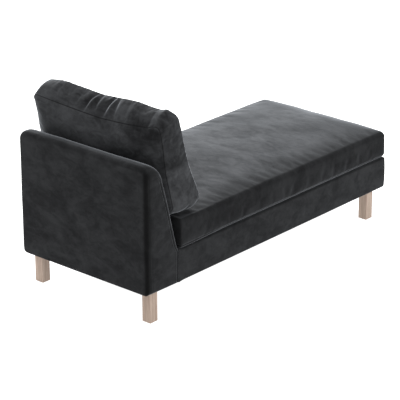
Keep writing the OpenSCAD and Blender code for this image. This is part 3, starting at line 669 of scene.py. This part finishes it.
class DAYBED_OT_base(bpy.types.Operator):
    """Makes the padded base with its hem turned under and the deck on top."""

    bl_idname = "daybed.base"
    bl_label = "Base"

    def execute(self, context):
        sizes = context.scene.daybed_covers
        near = [0, 1 * MM, 3 * MM, 5.5 * MM, 9 * MM, 13 * MM, 19 * MM, 21.5 * MM, 32 * MM]
        rear_gap = 0.2 * MM
        low = np.array([-HALF_WIDTH, FOOT_Y, BASE_Z])
        high = np.array([HALF_WIDTH, SEAM_Y - rear_gap, DECK_Z])
        grid_x = grid_lines(low[0], high[0], near, 16 * MM)
        grid_y = grid_lines(low[1], high[1], near, 16 * MM)
        grid_z = grid_lines(low[2], high[2], [0, 1 * MM, 3 * MM, 5.5 * MM, 9 * MM, 14 * MM], 13 * MM)
        keys, quads = box_grid(len(grid_x) - 1, len(grid_y) - 1, len(grid_z) - 1)
        raw = np.stack([grid_x[keys[:, 0]], grid_y[keys[:, 1]], grid_z[keys[:, 2]]], axis=1)
        soft = round_box(raw, low, high, (12 * MM, 12 * MM, 7 * MM))
        crisp = round_box(raw, low, high, (2.5 * MM, 2.5 * MM, 2.5 * MM))
        # The edges are crisp where the base meets the backrest, and soften away from it
        crisp_reach = 40 * MM
        from_backrest = high[1] - raw[:, 1:2]
        to_seam = smoothstep(0.0, crisp_reach, from_backrest)
        places = np.where(from_backrest < crisp_reach, crisp * (1 - to_seam) + soft * to_seam, soft)
        bulge = 2.5 * MM * np.sin(np.clip((places[:, 2] - low[2]) / (high[2] - low[2]), 0, 1) * math.pi) \
            * smoothstep(0.0, 0.10, high[1] - places[:, 1])
        places[:, 0] += np.where(np.abs(raw[:, 0]) > HALF_WIDTH - 1e-5, np.sign(raw[:, 0]) * bulge, 0)
        under = (keys[:, 2] == 0) & (HALF_WIDTH - np.abs(raw[:, 0]) > sizes.hem) \
            & (raw[:, 1] - FOOT_Y > sizes.hem)
        places[under, 2] = BASE_Z + UNDERSIDE_RISE
        piece = new_piece("base_upholstery", places, quads)

        def keep(p):
            return smoothstep(0.0, 0.04, p[:, 2] - BASE_Z) * smoothstep(0.0, 0.10, high[1] - p[:, 1]) \
                * smoothstep(0.0, 0.02, DECK_Z - p[:, 2])

        settle_noise(piece, [
            (0.30, 1.8 * MM, (1, 1, 1)), (0.09, 1.1 * MM, (1, 1, 1)), (0.04, 0.5 * MM, (0.6, 0.6, 1.4)),
        ], keep)
        subdivided(piece)
        dressed(piece, "body_velvet", "frame")
        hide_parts("base_cover_left", "base_cover_right", "base_cover_foot", "base_wadding_left",
                    "base_wadding_right", "base_wadding_foot", "deck_cloth", "deck_pad")
        return {"FINISHED"}


# ------------------------------------------------------------------ the seat cushion

class DAYBED_OT_seat_cushion(bpy.types.Operator):
    """Makes the loose seat cushion: a crowned top, soft corners and a welted lower edge."""

    bl_idname = "daybed.seat_cushion"
    bl_label = "Seat cushion"

    def execute(self, context):
        sizes = context.scene.daybed_cushions
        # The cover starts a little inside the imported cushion, and its crown and filling swell it
        low = np.array(SEAT_LOW) + np.array([1, 1, 0.6]) * MM
        high = np.array(SEAT_HIGH) - np.array([1, 0.6, 8.5]) * MM
        near = [0, 3 * MM, 7 * MM, 12 * MM, 18 * MM, 25 * MM, 34 * MM]
        grid_x = grid_lines(low[0], high[0], near, 13 * MM)
        grid_y = grid_lines(low[1], high[1], near, 13 * MM)
        welt_near = [0, 3 * MM, 7 * MM, 10 * MM, 12 * MM, 14 * MM, 18 * MM, 25 * MM]
        grid_z = grid_lines(low[2], high[2], welt_near, 12 * MM)
        keys, quads = box_grid(len(grid_x) - 1, len(grid_y) - 1, len(grid_z) - 1)
        raw = np.stack([grid_x[keys[:, 0]], grid_y[keys[:, 1]], grid_z[keys[:, 2]]], axis=1)
        at_rear = smoothstep(0.3, 0.6, raw[:, 1])
        places = round_box(raw, low, high, np.stack([
            sizes.seat_edge * (1 - 0.72 * at_rear), sizes.seat_edge * (1 - 0.72 * at_rear),
            np.full(len(raw), sizes.seat_edge)], axis=1))
        middle = (low + high) / 2
        half = (high - low) / 2
        u = (raw[:, 0] - middle[0]) / half[0]
        v = (raw[:, 1] - middle[1]) / half[1]
        up = (raw[:, 2] - low[2]) / (high[2] - low[2])
        crown = (1 - np.abs(u) ** 2.4) * (1 - np.abs(v) ** 8.0) * (1 - 0.6 * smoothstep(0.2, 0.6, v))
        corner_droop = 6 * MM
        droop = corner_droop * np.abs(u) ** 6 * np.maximum(-v, 0) ** 12
        places[:, 2] += up ** 2 * (sizes.seat_crown * crown - droop)
        waist = np.sin(np.clip(up, 0, 1) * math.pi)
        tuck = 1.5 * MM
        places[:, 0] -= np.sign(u) * tuck * (1 - waist) * (np.abs(u) > 0.97)
        piece = new_piece("seat_cushion", places, quads)
        held = np.clip(1.0 - up * 6.0, 0.0, 1.0)
        held = np.maximum(held, 0.82 * smoothstep(0.90, 0.99, np.abs(u)) * (up > 0.5))
        held = np.maximum(held, 0.82 * smoothstep(0.95, 0.995, np.abs(v)) * (up > 0.5))
        # The seat's foam fills its cover firmly, so the cloth moves little and bends stiffly
        seat_share, seat_slack = 0.25, 0.004
        settled_cloth(piece, held, sizes.pressure * seat_share, seat_slack, sizes.frames,
                      cap=7 * MM, bend=2.0)
        mesh = piece.data
        settled = read_places(mesh)
        welt_height, welt_breadth, welt_depth = 12 * MM, 1.8 * MM, 1.6 * MM
        welt = np.exp(-((raw[:, 2] - low[2] - welt_height) / welt_breadth) ** 2) * (up > 0) * (up < 0.5)
        on_side = np.maximum(np.abs(u) > 0.999, np.abs(v) > 0.999)
        normals = read_normals(mesh)
        settled -= normals * (welt_depth * welt * on_side)[:, None]
        settled[:, 2] = np.maximum(settled[:, 2], SEAT_LOW[2] + 0.3 * MM)
        zip_z = (SEAT_ZIP_LOW[2] + SEAT_ZIP_HIGH[2]) / 2
        rear_reach = 12 * MM
        strip_half_width = 26 * MM
        rear = settled[:, 1] > SEAT_HIGH[1] - rear_reach
        flat = np.exp(-((settled[:, 2] - zip_z) / strip_half_width) ** 4) * rear
        settled[:, 1] += flat * (SEAT_HIGH[1] - 0.3 * MM - settled[:, 1])
        settled[:, 1] = np.minimum(settled[:, 1], SEAT_HIGH[1] - 0.2 * MM)
        write_places(mesh, settled)
        # Painted shade darkens the velvet down both long sides, across the top towards the -X side, and towards
        # the -X corner of the foot end
        down = 0.75 * np.maximum(smoothstep(0.80, 0.99, np.abs(u)), smoothstep(0.35, 1.0, -u))
        corner = 0.85 * smoothstep(0.1, 1.0, -v) * smoothstep(-0.5, 0.8, -u)
        mark_seams_and_painted_shade(piece, np.maximum(down, corner))

        def keep(p):
            at_zip = (p[:, 1] > SEAT_HIGH[1] - rear_reach) & (np.abs(p[:, 2] - zip_z) < 24 * MM)
            return smoothstep(0.0, 0.03, p[:, 2] - SEAT_LOW[2]) * np.where(at_zip, 0.0, 1.0)

        settle_noise(piece, [
            (0.34, 2.6 * MM, (1, 1, 1)), (0.14, 2.8 * MM, (1.0, 0.8, 1)), (0.06, 0.5 * MM, (1, 1, 1)),
        ], keep)
        subdivided(piece)
        dressed(piece, "cushion_velvet", "seat_cushion")
        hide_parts("seat_cushion_cover", "seat_cushion_core")
        return {"FINISHED"}


# ------------------------------------------------------------------ the back cushion

LEAN_Z = SEAT_HIGH[2]
LEAN_Y = REAR_Y - front_depth(LEAN_Z)
UP_SLOPE = np.array([0.0, math.sin(RAKE), math.cos(RAKE)])
FORWARD = np.array([0.0, -math.cos(RAKE), math.sin(RAKE)])


def along(table, x):
    """Reads a smooth curve given by a few points."""
    xs, ys = zip(*table)
    return np.interp(x, xs, ys)


# Height on the slope to the distance from the backrest, for the seams on the rear and on the front
REAR_SEAM = [(0.00, 0.040), (0.12, 0.050), (0.22, 0.054), (0.34, 0.067), (0.40, 0.068), (0.47, 0.064)]
FRONT_SEAM = [(-0.035, 0.200), (-0.017, 0.217), (0.014, 0.222), (0.186, 0.204), (0.352, 0.200),
              (0.421, 0.196), (0.45, 0.183), (0.476, 0.166)]
# Place across the width to the height on the slope, for the top of the seam on the rear and on the front
REAR_TOP = [(-0.38, 0.462), (-0.30, 0.434), (-0.20, 0.422), (-0.10, 0.414), (0.00, 0.409), (0.10, 0.414),
            (0.20, 0.420), (0.33, 0.430), (0.43, 0.438)]
FRONT_TOP = [(-0.38, 0.480), (-0.345, 0.486), (-0.30, 0.474), (-0.25, 0.474), (-0.17, 0.482), (-0.10, 0.478),
             (-0.05, 0.472), (0.00, 0.463), (0.05, 0.457), (0.10, 0.462), (0.15, 0.469), (0.20, 0.475),
             (0.27, 0.481), (0.31, 0.480), (0.36, 0.470), (0.43, 0.450)]
# Place across the width, slant, depth and breadth of the folds gathered into the top of the band
FOLDS = [(0.235, 0.03, 4.0, 15.0), (0.160, -0.02, 4.0, 13.0), (0.098, -0.03, 12.0, 11.0),
         (0.055, 0.02, 7.0, 13.0), (-0.022, -0.02, 10.0, 11.0), (-0.068, 0.02, 8.0, 13.0),
         (-0.140, 0.01, 5.0, 16.0), (-0.225, -0.03, 3.0, 18.0)]


class DAYBED_OT_back_cushion(bpy.types.Operator):
    """Makes the loose back cushion: two crowned panels sewn to a band, with gathers along its top."""

    bl_idname = "daybed.back_cushion"
    bl_label = "Back cushion"

    def execute(self, context):
        sizes = context.scene.daybed_cushions
        near = [0, 2.5 * MM, 6 * MM, 12 * MM, 20 * MM]
        # The cover before it is shaped: its height on the slope, its band and half its width
        height = 0.468
        band = 0.145
        half_width = 0.39
        grid_x = grid_lines(-1, 1, [n / half_width for n in near], 7.5 * MM / half_width)
        grid_a = grid_lines(0, height, near, 9.5 * MM)
        grid_w = grid_lines(0, band, near, 8 * MM)
        keys, quads = box_grid(len(grid_x) - 1, len(grid_w) - 1, len(grid_a) - 1)
        u = grid_x[keys[:, 0]]
        # The grid's second axis runs towards +Y, from the front panel to the rear one
        w = 1.0 - grid_w[keys[:, 1]] / band
        v = grid_a[keys[:, 2]] / height
        flat_u, flat_v = u.copy(), v.copy()
        corner_u, corner_v = 0.08, 0.13
        du = (np.abs(u) - (1 - corner_u)) / corner_u
        dv = (np.abs(2 * v - 1) - (1 - corner_v)) / corner_v
        k = turned_corner(np.maximum(du, 0), np.maximum(dv, 0))
        both = (du > 0) & (dv > 0)
        u = np.where(both, np.sign(u) * (1 - corner_u + du * k * corner_u), u)
        v = np.where(both, 0.5 + np.sign(v - 0.5) * (1 - corner_v + dv * k * corner_v) / 2, v)
        middle = np.sin(np.clip(v, 0, 1) * math.pi)
        # One side flares upwards, and the other is drawn in at its middle
        left = 0.400 + 0.024 * smoothstep(0.0, 0.6, v)
        right = 0.378 - 0.010 * middle
        x = np.where(u > 0, u * left, u * right)
        reach = np.abs(u) ** 3
        # The underside lies level on the seat cushion and turns up towards its seams
        lying_gap, turn_up = 3 * MM, 21 * MM
        band_start, band_reach = 0.015, 0.190
        underside = (SEAT_HIGH[2] + lying_gap + turn_up * np.abs(2 * w - 1) ** 4 - LEAN_Z
                     - (band_start + band_reach * w) * math.sin(RAKE)) / math.cos(RAKE)
        a = v * height + (1 - v) ** 3 * underside
        a = a + v ** 3 * (along(REAR_TOP, x) * (1 - w) + along(FRONT_TOP, x) * w - height)
        # The foot of the rear panel swells towards the backrest
        heel = 26 * MM
        rear = along(REAR_SEAM, a) - heel * (1 - np.abs(u) ** 6) * (1 - v) ** 5
        front = along(FRONT_SEAM, a)
        b = rear + (front - rear) * w
        on_rear = keys[:, 1] == len(grid_w) - 1
        on_front = keys[:, 1] == 0
        on_top = keys[:, 2] == len(grid_a) - 1
        on_bottom = keys[:, 2] == 0
        on_band = (keys[:, 0] == 0) | (keys[:, 0] == len(grid_x) - 1) | on_top | on_bottom
        seam = on_band & (on_rear | on_front)
        inside = np.maximum(1 - np.abs(flat_u) ** 2.6, 0) * np.maximum(1 - np.abs(2 * flat_v - 1) ** 2.6, 0)
        rear_crown, front_crown = 46 * MM, 26 * MM
        b = b - np.where(on_rear, rear_crown * inside ** 0.6, 0) \
            + np.where(on_front, front_crown * inside ** 0.6, 0)
        belly = 4 * w * (1 - w)
        top_belly, bottom_belly, side_belly = 17 * MM, 1.5 * MM, 5 * MM
        a = a + np.where(on_top, top_belly * belly * (1 - 0.3 * reach), 0) \
            - np.where(on_bottom, bottom_belly * belly, 0)
        side = on_band & ~on_top & ~on_bottom
        x = x + np.where(side, np.sign(u) * side_belly * belly * middle, 0)
        places = np.array([0, LEAN_Y, LEAN_Z]) + np.stack([x, 0 * x, 0 * x], axis=1) \
            + a[:, None] * UP_SLOPE + b[:, None] * FORWARD
        piece = new_piece("back_cushion", places, quads)
        settled_cloth(piece, seam.astype(float), sizes.pressure, sizes.slack, sizes.frames,
                      cap=22 * MM, bend=0.35)
        underside_places = on_bottom & ~(keys[:, 0] == 0) & ~(keys[:, 0] == len(grid_x) - 1)
        mesh = piece.data
        settled = read_places(mesh)
        normals = read_normals(mesh)
        seam_sink = 2.4 * MM
        settled -= normals * (seam_sink * seam)[:, None]
        settled += normals * (self.gathers(x, w) * belly ** 0.6 * on_top)[:, None]
        write_places(mesh, settled)
        self.press(mesh, underside_places)
        settle_noise(piece, [(0.14, 2.0 * MM, (1, 1, 1)), (0.05, 0.8 * MM, (1, 1, 1))],
                     lambda p: 1.0 - 0.9 * seam)
        self.press(mesh, underside_places)
        mark_seams_and_painted_shade(piece, seam)
        subdivided(piece)
        dressed(piece, "cushion_velvet", "back_cushion")
        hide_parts("back_cushion_cover", "back_cushion_core")
        return {"FINISHED"}

    def gathers(self, x, w):
        """Depth of the folds in the top of the band."""
        depth = np.zeros(len(x))
        for place, slant, deep, broad in FOLDS:
            away = (x - place - slant * (w - 0.5)) / (broad * MM)
            depth -= deep * MM * np.exp(-np.abs(away) ** 1.4)
            depth += 0.28 * deep * MM * np.exp(-((away - 1.8) / 1.1) ** 2)
            depth += 0.28 * deep * MM * np.exp(-((away + 1.8) / 1.1) ** 2)
        return depth

    def press(self, mesh, underside_places):
        """Flattens the cushion where it leans on the backrest and lies on the seat."""
        places = read_places(mesh)
        lean = (places - np.array([0, LEAN_Y, LEAN_Z])) @ FORWARD
        gap = 2.5 * MM
        above_backrest = 20 * MM
        behind = (lean < gap) & (places[:, 2] < BACK_TOP + above_backrest)
        places[behind] += np.outer(gap - lean[behind], FORWARD)
        zip_y = (BACK_ZIP_LOW[1] + BACK_ZIP_HIGH[1]) / 2
        zip_z = BACK_ZIP_LOW[2] + TOOTH_RISE
        cloth_z = zip_z + 0.4 * MM
        places[:, 2] = np.maximum(places[:, 2], cloth_z)
        # A strip along the zip is flat, and runs out past the zip's ends
        strip_height, strip_half_width, strip_half_length, run_out = 26 * MM, 19 * MM, 0.36, 0.03
        under = places[:, 2] < zip_z + strip_height
        flat = under * np.exp(-((places[:, 1] - zip_y) / strip_half_width) ** 4) \
            * smoothstep(0.0, run_out, strip_half_length - np.abs(places[:, 0]))
        places[:, 2] += np.where(underside_places, flat * (cloth_z - places[:, 2]), 0)
        write_places(mesh, places)


# ------------------------------------------------------------------ rows of small things

def row_tree():
    """Node group that sets a small piece out along a line, turned to follow it."""
    tree = bpy.data.node_groups.new("Row along a line", "GeometryNodeTree")
    face = tree.interface
    face.new_socket("Geometry", in_out="INPUT", socket_type="NodeSocketGeometry")
    face.new_socket("Piece", in_out="INPUT", socket_type="NodeSocketObject")
    face.new_socket("Pitch", in_out="INPUT", socket_type="NodeSocketFloat")
    face.new_socket("Variation", in_out="INPUT", socket_type="NodeSocketFloat")
    face.new_socket("Seed", in_out="INPUT", socket_type="NodeSocketInt")
    face.new_socket("Material", in_out="INPUT", socket_type="NodeSocketMaterial")
    face.new_socket("Geometry", in_out="OUTPUT", socket_type="NodeSocketGeometry")
    add, join = tree.nodes.new, tree.links.new
    start, end = add("NodeGroupInput"), add("NodeGroupOutput")
    line = add("GeometryNodeMeshToCurve")
    join(start.outputs["Geometry"], line.inputs["Mesh"])
    points = add("GeometryNodeCurveToPoints")
    points.mode = "LENGTH"
    join(line.outputs["Curve"], points.inputs["Curve"])
    join(start.outputs["Pitch"], points.inputs["Length"])
    shape = add("GeometryNodeObjectInfo")
    join(start.outputs["Piece"], shape.inputs["Object"])
    turn = add("FunctionNodeAlignRotationToVector")
    turn.axis = "X"
    join(points.outputs["Tangent"], turn.inputs["Vector"])
    low = add("ShaderNodeMath")
    low.operation = "SUBTRACT"
    low.inputs[0].default_value = 1.0
    join(start.outputs["Variation"], low.inputs[1])
    size = add("FunctionNodeRandomValue")
    join(low.outputs[0], size.inputs[2])
    size.inputs[3].default_value = 1.0
    join(start.outputs["Seed"], size.inputs["Seed"])
    copies = add("GeometryNodeInstanceOnPoints")
    join(points.outputs["Points"], copies.inputs["Points"])
    join(shape.outputs["Geometry"], copies.inputs["Instance"])
    join(turn.outputs["Rotation"], copies.inputs["Rotation"])
    join(size.outputs[1], copies.inputs["Scale"])
    real = add("GeometryNodeRealizeInstances")
    join(copies.outputs["Instances"], real.inputs["Geometry"])
    paint = add("GeometryNodeSetMaterial")
    join(real.outputs["Geometry"], paint.inputs["Geometry"])
    join(start.outputs["Material"], paint.inputs["Material"])
    join(paint.outputs["Geometry"], end.inputs["Geometry"])
    return tree


def set_row(name, lines, shape, pitch, slot, body, variation=0.0, seed=3):
    """Sets copies of a small piece out along straight lines, and joins them into one plain piece."""
    tree = bpy.data.node_groups.get("Row along a line") or row_tree()
    points = [tuple(p) for line in lines for p in line]
    path = new_piece("path", points, [], smooth=False)
    path.data.clear_geometry()
    path.data.from_pydata(points, [(2 * i, 2 * i + 1) for i in range(len(lines))], [])
    modifier = path.modifiers.new("Row", "NODES")
    modifier.node_group = tree
    values = {"Piece": shape, "Pitch": pitch, "Variation": variation, "Seed": seed, "Material": finish(slot)}
    for item in tree.interface.items_tree:
        if item.in_out == "INPUT" and item.name in values:
            modifier[item.identifier] = values[item.name]
    bpy.context.view_layer.update()
    mesh = bpy.data.meshes.new_from_object(path.evaluated_get(bpy.context.evaluated_depsgraph_get()))
    if not mesh.polygons:
        raise RuntimeError(f"{name} came out empty")
    mesh.name = name
    mesh.materials.clear()
    bpy.data.objects.remove(path)
    piece = bpy.data.objects.new(name, mesh)
    bpy.context.scene.collection.objects.link(piece)
    return dressed(piece, slot, body)


def turned_bar(name, rings, sides=6):
    """A small closed bar along X from (place, half width, half height) rings."""
    places, faces = [], []
    for x, wide, high in rings:
        for i in range(sides):
            angle = 2 * math.pi * (i + 0.5) / sides
            places.append((x, wide * math.cos(angle), high * math.sin(angle)))
    for r in range(len(rings) - 1):
        for i in range(sides):
            j = (i + 1) % sides
            faces.append((r * sides + i, r * sides + j, (r + 1) * sides + j, (r + 1) * sides + i))
    faces.append(tuple(range(sides))[::-1])
    faces.append(tuple((len(rings) - 1) * sides + i for i in range(sides)))
    mesh = bpy.data.meshes.new(name)
    mesh.from_pydata(places, [], [f[::-1] for f in faces])
    return mesh


def tape_pair(length, width, thickness, gap):
    """Two woven tapes side by side along X, each slightly crowned, lying on z = 0."""
    places, faces = [], []
    count = 64
    half_profile = [(gap, 0), (gap, thickness), (width * 0.5, thickness * 1.25), (width, thickness * 0.6),
                    (width, 0)]
    for side in (-1, 1):
        profile = [(side * y, z) for y, z in half_profile]
        first = len(places)
        for i in range(count + 1):
            x = length * (i / count - 0.5)
            lift = 0.12 * MM * math.sin(i * 1.7)
            places += [(x, y, z + (lift if z > 0 else 0)) for y, z in profile]
        n = len(profile)
        for i in range(count):
            for j in range(n):
                k = (j + 1) % n
                quad = (first + i * n + j, first + i * n + k, first + (i + 1) * n + k, first + (i + 1) * n + j)
                faces.append(quad if side > 0 else quad[::-1])
        caps = [tuple(first + j for j in range(n)), tuple(first + count * n + j for j in range(n))]
        faces += [caps[0][::-1], caps[1]] if side > 0 else [caps[0], caps[1][::-1]]
    return places, faces


class DAYBED_OT_zips(bpy.types.Operator):
    """Makes the zips of both cushions: tapes, coil teeth and the stitches that hold the tapes."""

    bl_idname = "daybed.zips"
    bl_label = "Zips"

    def execute(self, context):
        self.zip_on("seat", SEAT_ZIP_LOW, SEAT_ZIP_HIGH, Matrix.Rotation(math.radians(-90), 4, "X"),
                    Vector((0, SEAT_ZIP_HIGH[1] - TOOTH_RISE, (SEAT_ZIP_LOW[2] + SEAT_ZIP_HIGH[2]) / 2)))
        self.zip_on("back", BACK_ZIP_LOW, BACK_ZIP_HIGH, Matrix.Rotation(math.pi, 4, "X"),
                    Vector((0, (BACK_ZIP_LOW[1] + BACK_ZIP_HIGH[1]) / 2, BACK_ZIP_LOW[2] + TOOTH_RISE)))
        return {"FINISHED"}

    def zip_on(self, name, low, high, turn, place):
        """Makes the zip of one cushion, turned to the cushion's face and put in its place."""
        length = high[0] - low[0]
        body = name + "_cushion"
        to_place = Matrix.Translation(place) @ turn
        places, faces = tape_pair(length, 12 * MM, 0.7 * MM, 1.2 * MM)
        tape = new_piece(name + "_zip_tape", [to_place @ Vector(p) for p in places], faces, smooth=False)
        dressed(tape, "zip_tape", body)
        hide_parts(name + "_zip_chain")
        tooth = bpy.data.objects.new("tooth", turned_bar("tooth", [
            (-0.62 * MM, 1.0 * MM, 0.35 * MM), (-0.3 * MM, 2.7 * MM, 0.75 * MM),
            (0.3 * MM, 2.7 * MM, 0.75 * MM), (0.62 * MM, 1.0 * MM, 0.35 * MM)], 8))
        stitch = bpy.data.objects.new("stitch", turned_bar("stitch", [
            (-1.5 * MM, 0.1 * MM, 0.1 * MM), (-1.1 * MM, 0.35 * MM, 0.3 * MM),
            (1.1 * MM, 0.35 * MM, 0.3 * MM), (1.5 * MM, 0.1 * MM, 0.1 * MM)], 6))
        # The tooth and the stitch are turned with the zip, which faces rearwards or down
        for small in (tooth, stitch):
            small.data.transform(turn)
        half = length / 2 - 2 * MM
        above_tape = 0.85 * MM
        stitch_line = 9 * MM
        line = [to_place @ Vector((x, 0, above_tape)) for x in (-half, half)]
        set_row(name + "_zip_teeth", [line], tooth, 1.45 * MM, "zip_tape", body)
        rows = [[to_place @ Vector((x, y, above_tape)) for x in (-half, half)]
                for y in (-stitch_line, stitch_line)]
        set_row(name + "_zip_stitches", rows, stitch, 3.6 * MM, "zip_tape", body, 0.12)
        for small in (tooth, stitch):
            bpy.data.objects.remove(small)


class DAYBED_OT_dust_cloth(bpy.types.Operator):
    """Makes the black cloth stapled under the base, cut out round the legs and sagging a little."""

    bl_idname = "daybed.dust_cloth"
    bl_label = "Dust cloth"

    def execute(self, context):
        low, high = DUST_LOW, DUST_HIGH
        margin = 1 * MM
        cuts = [(l[0] - margin, h[0] + margin, l[1] - margin, h[1] + margin) for l, h in LEGS]
        xs = self.lines(low[0], high[0], [c for cut in cuts for c in cut[:2]])
        ys = self.lines(low[1], high[1], [c for cut in cuts for c in cut[2:]])
        places, index, faces = [], {}, []

        def at(i, j):
            if (i, j) not in index:
                index[(i, j)] = len(places)
                places.append((xs[i], ys[j], self.height(xs[i], ys[j], low, high)))
            return index[(i, j)]

        for i in range(len(xs) - 1):
            for j in range(len(ys) - 1):
                x, y = (xs[i] + xs[i + 1]) / 2, (ys[j] + ys[j + 1]) / 2
                if not any(c[0] < x < c[1] and c[2] < y < c[3] for c in cuts):
                    faces.append((at(i, j), at(i, j + 1), at(i + 1, j + 1), at(i + 1, j)))
        piece = new_piece("dust_cloth", places, faces)
        thick = piece.modifiers.new("Thickness", "SOLIDIFY")
        thick.thickness = 0.5 * MM
        thick.offset = 1.0
        dressed(piece, "dust_cloth", "frame")
        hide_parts("dust_cover")
        return {"FINISHED"}

    def lines(self, low, high, stops):
        stops = sorted({round(v, 5) for v in [low, high, *stops]})
        out = []
        for a, b in zip(stops, stops[1:]):
            count = max(1, round((b - a) / (14 * MM)))
            out += list(np.linspace(a, b, count + 1)[:-1])
        return out + [stops[-1]]

    def height(self, x, y, low, high):
        """The cloth is tight along its stapled edges, hangs between them and puckers near them."""
        in_x = min(x - low[0], high[0] - x)
        in_y = min(y - low[1], high[1] - y)
        edge = min(in_x, in_y)
        sag = 3.0 * MM * min(1.0, max(0.0, (edge - 0.03) / 0.15)) ** 0.7
        along_edge = y if in_x < in_y else x
        pucker = 0.7 * MM * math.sin(along_edge / 0.085 * 2 * math.pi)
        pucker *= math.exp(-((edge - 0.05) / 0.03) ** 2)
        return high[2] - 1.0 * MM - sag - abs(pucker)


# ------------------------------------------------------------------ finishes of the frame's own pieces

class DAYBED_OT_frame_finishes(bpy.types.Operator):
    """Gives every piece that comes with the frame its own finish."""

    bl_idname = "daybed.frame_finishes"
    bl_label = "Frame finishes"

    def execute(self, context):
        slots = {s["node"]: s["material_slot"] for s in frame["record"]["subparts"]}
        for node, piece in frame["nodes"].items():
            piece.data.materials.clear()
            piece.data.materials.append(finish(slots[node]))
        return {"FINISHED"}


# ------------------------------------------------------------------ stage

def area_light(name, place, target, size, power):
    """A soft white light that faces its target."""
    data = bpy.data.lights.new(name, "AREA")
    data.shape = "RECTANGLE"
    data.size, data.size_y = size
    data.energy = power
    lamp = bpy.data.objects.new(name, data)
    lamp.location = place
    lamp.rotation_euler = (Vector(target) - Vector(place)).to_track_quat("-Z", "Y").to_euler()
    bpy.context.scene.collection.objects.link(lamp)
    return lamp


class DAYBED_OT_stage(bpy.types.Operator):
    """Makes the floor, the soft lights and the camera."""

    bl_idname = "daybed.stage"
    bl_label = "Stage"

    def execute(self, context):
        setting = context.scene.daybed_stage
        context.scene.view_settings.view_transform = "Standard"
        self.floor()
        self.lights(context)
        self.camera(context, setting)
        return {"FINISHED"}

    def floor(self):
        reach = 30.0
        places = [(-reach, -reach, 0), (reach, -reach, 0), (reach, reach, 0), (-reach, reach, 0)]
        floor = new_piece("floor", places, [(0, 1, 2, 3)], smooth=False)
        f = Finish("pale_floor")
        mottle = f.noise(2.0, detail=2)
        f.set(Base_Color=f.mix(mottle, (0.44, 0.44, 0.44), (0.46, 0.46, 0.46)), Roughness=0.9)
        f.shader.inputs["Emission Color"].default_value = (1.0, 1.0, 1.0, 1.0)
        f.shader.inputs["Emission Strength"].default_value = 1.0
        floor.data.materials.append(f.material)

    def lights(self, context):
        world = bpy.data.worlds.new("studio")
        world.use_nodes = True
        sky = world.node_tree.nodes["Background"]
        sky.inputs["Color"].default_value = (1.0, 1.0, 1.0, 1.0)
        sky.inputs["Strength"].default_value = 0.9
        context.scene.world = world
        middle = (0.0, 0.0, 0.4)
        area_light("overhead", (0.9, -0.7, 3.6), middle, (3.2, 3.2), 110.0)
        area_light("far_side", (3.4, -2.3, 2.6), middle, (2.4, 1.8), 215.0)
        area_light("near_side", (-4.5, 0.5, 2.6), middle, (2.4, 2.4), 36.0)

    def camera(self, context, setting):
        data = bpy.data.cameras.new("camera")
        data.lens = setting.lens
        data.sensor_width = 36.0
        camera = bpy.data.objects.new("camera", data)
        yaw, pitch, roll = setting.heading, setting.tilt, setting.roll
        ahead = Vector((math.cos(pitch) * math.cos(yaw), math.cos(pitch) * math.sin(yaw), -math.sin(pitch)))
        right = ahead.cross(Vector((0, 0, 1))).normalized()
        up = right.cross(ahead)
        turned_right = right * math.cos(roll) + up * math.sin(roll)
        turned_up = up * math.cos(roll) - right * math.sin(roll)
        axes = Matrix((turned_right, turned_up, -ahead)).transposed()
        camera.matrix_world = Matrix.Translation(Vector(setting.camera_place)) @ axes.to_4x4()
        context.scene.collection.objects.link(camera)
        context.scene.camera = camera


# ------------------------------------------------------------------ add-on

class DAYBED_PT_panel(bpy.types.Panel):
    """Lists the daybed's sizes and colours, and the steps that make it."""

    bl_idname = "DAYBED_PT_panel"
    bl_label = "Daybed"
    bl_space_type = "VIEW_3D"
    bl_region_type = "UI"
    bl_category = "Daybed"

    def draw(self, context):
        for group in ("daybed_velvet", "daybed_covers", "daybed_cushions", "daybed_stage"):
            settings = getattr(context.scene, group)
            for name in settings.__annotations__:
                self.layout.prop(settings, name)
        for operator in OPERATORS:
            self.layout.operator(operator.bl_idname)


GROUPS = {
    "daybed_velvet": DaybedVelvet,
    "daybed_covers": DaybedCovers,
    "daybed_cushions": DaybedCushions,
    "daybed_stage": DaybedStage,
}
OPERATORS = (
    DAYBED_OT_stage,
    DAYBED_OT_frame_finishes,
    DAYBED_OT_backrest,
    DAYBED_OT_base,
    DAYBED_OT_seat_cushion,
    DAYBED_OT_back_cushion,
    DAYBED_OT_zips,
    DAYBED_OT_dust_cloth,
)


def register():
    for group in (*GROUPS.values(), *OPERATORS, DAYBED_PT_panel):
        bpy.utils.register_class(group)
    for name, group in GROUPS.items():
        setattr(bpy.types.Scene, name, PointerProperty(type=group))


def unregister():
    for name in GROUPS:
        delattr(bpy.types.Scene, name)
    for group in (DAYBED_PT_panel, *reversed(OPERATORS), *GROUPS.values()):
        bpy.utils.unregister_class(group)


def main():
    register()
    bpy.ops.daybed.stage()
    bpy.ops.daybed.frame_finishes()
    bpy.ops.daybed.backrest()
    bpy.ops.daybed.base()
    bpy.ops.daybed.seat_cushion()
    bpy.ops.daybed.back_cushion()
    bpy.ops.daybed.zips()
    bpy.ops.daybed.dust_cloth()


if __name__ == "__main__":
    main()
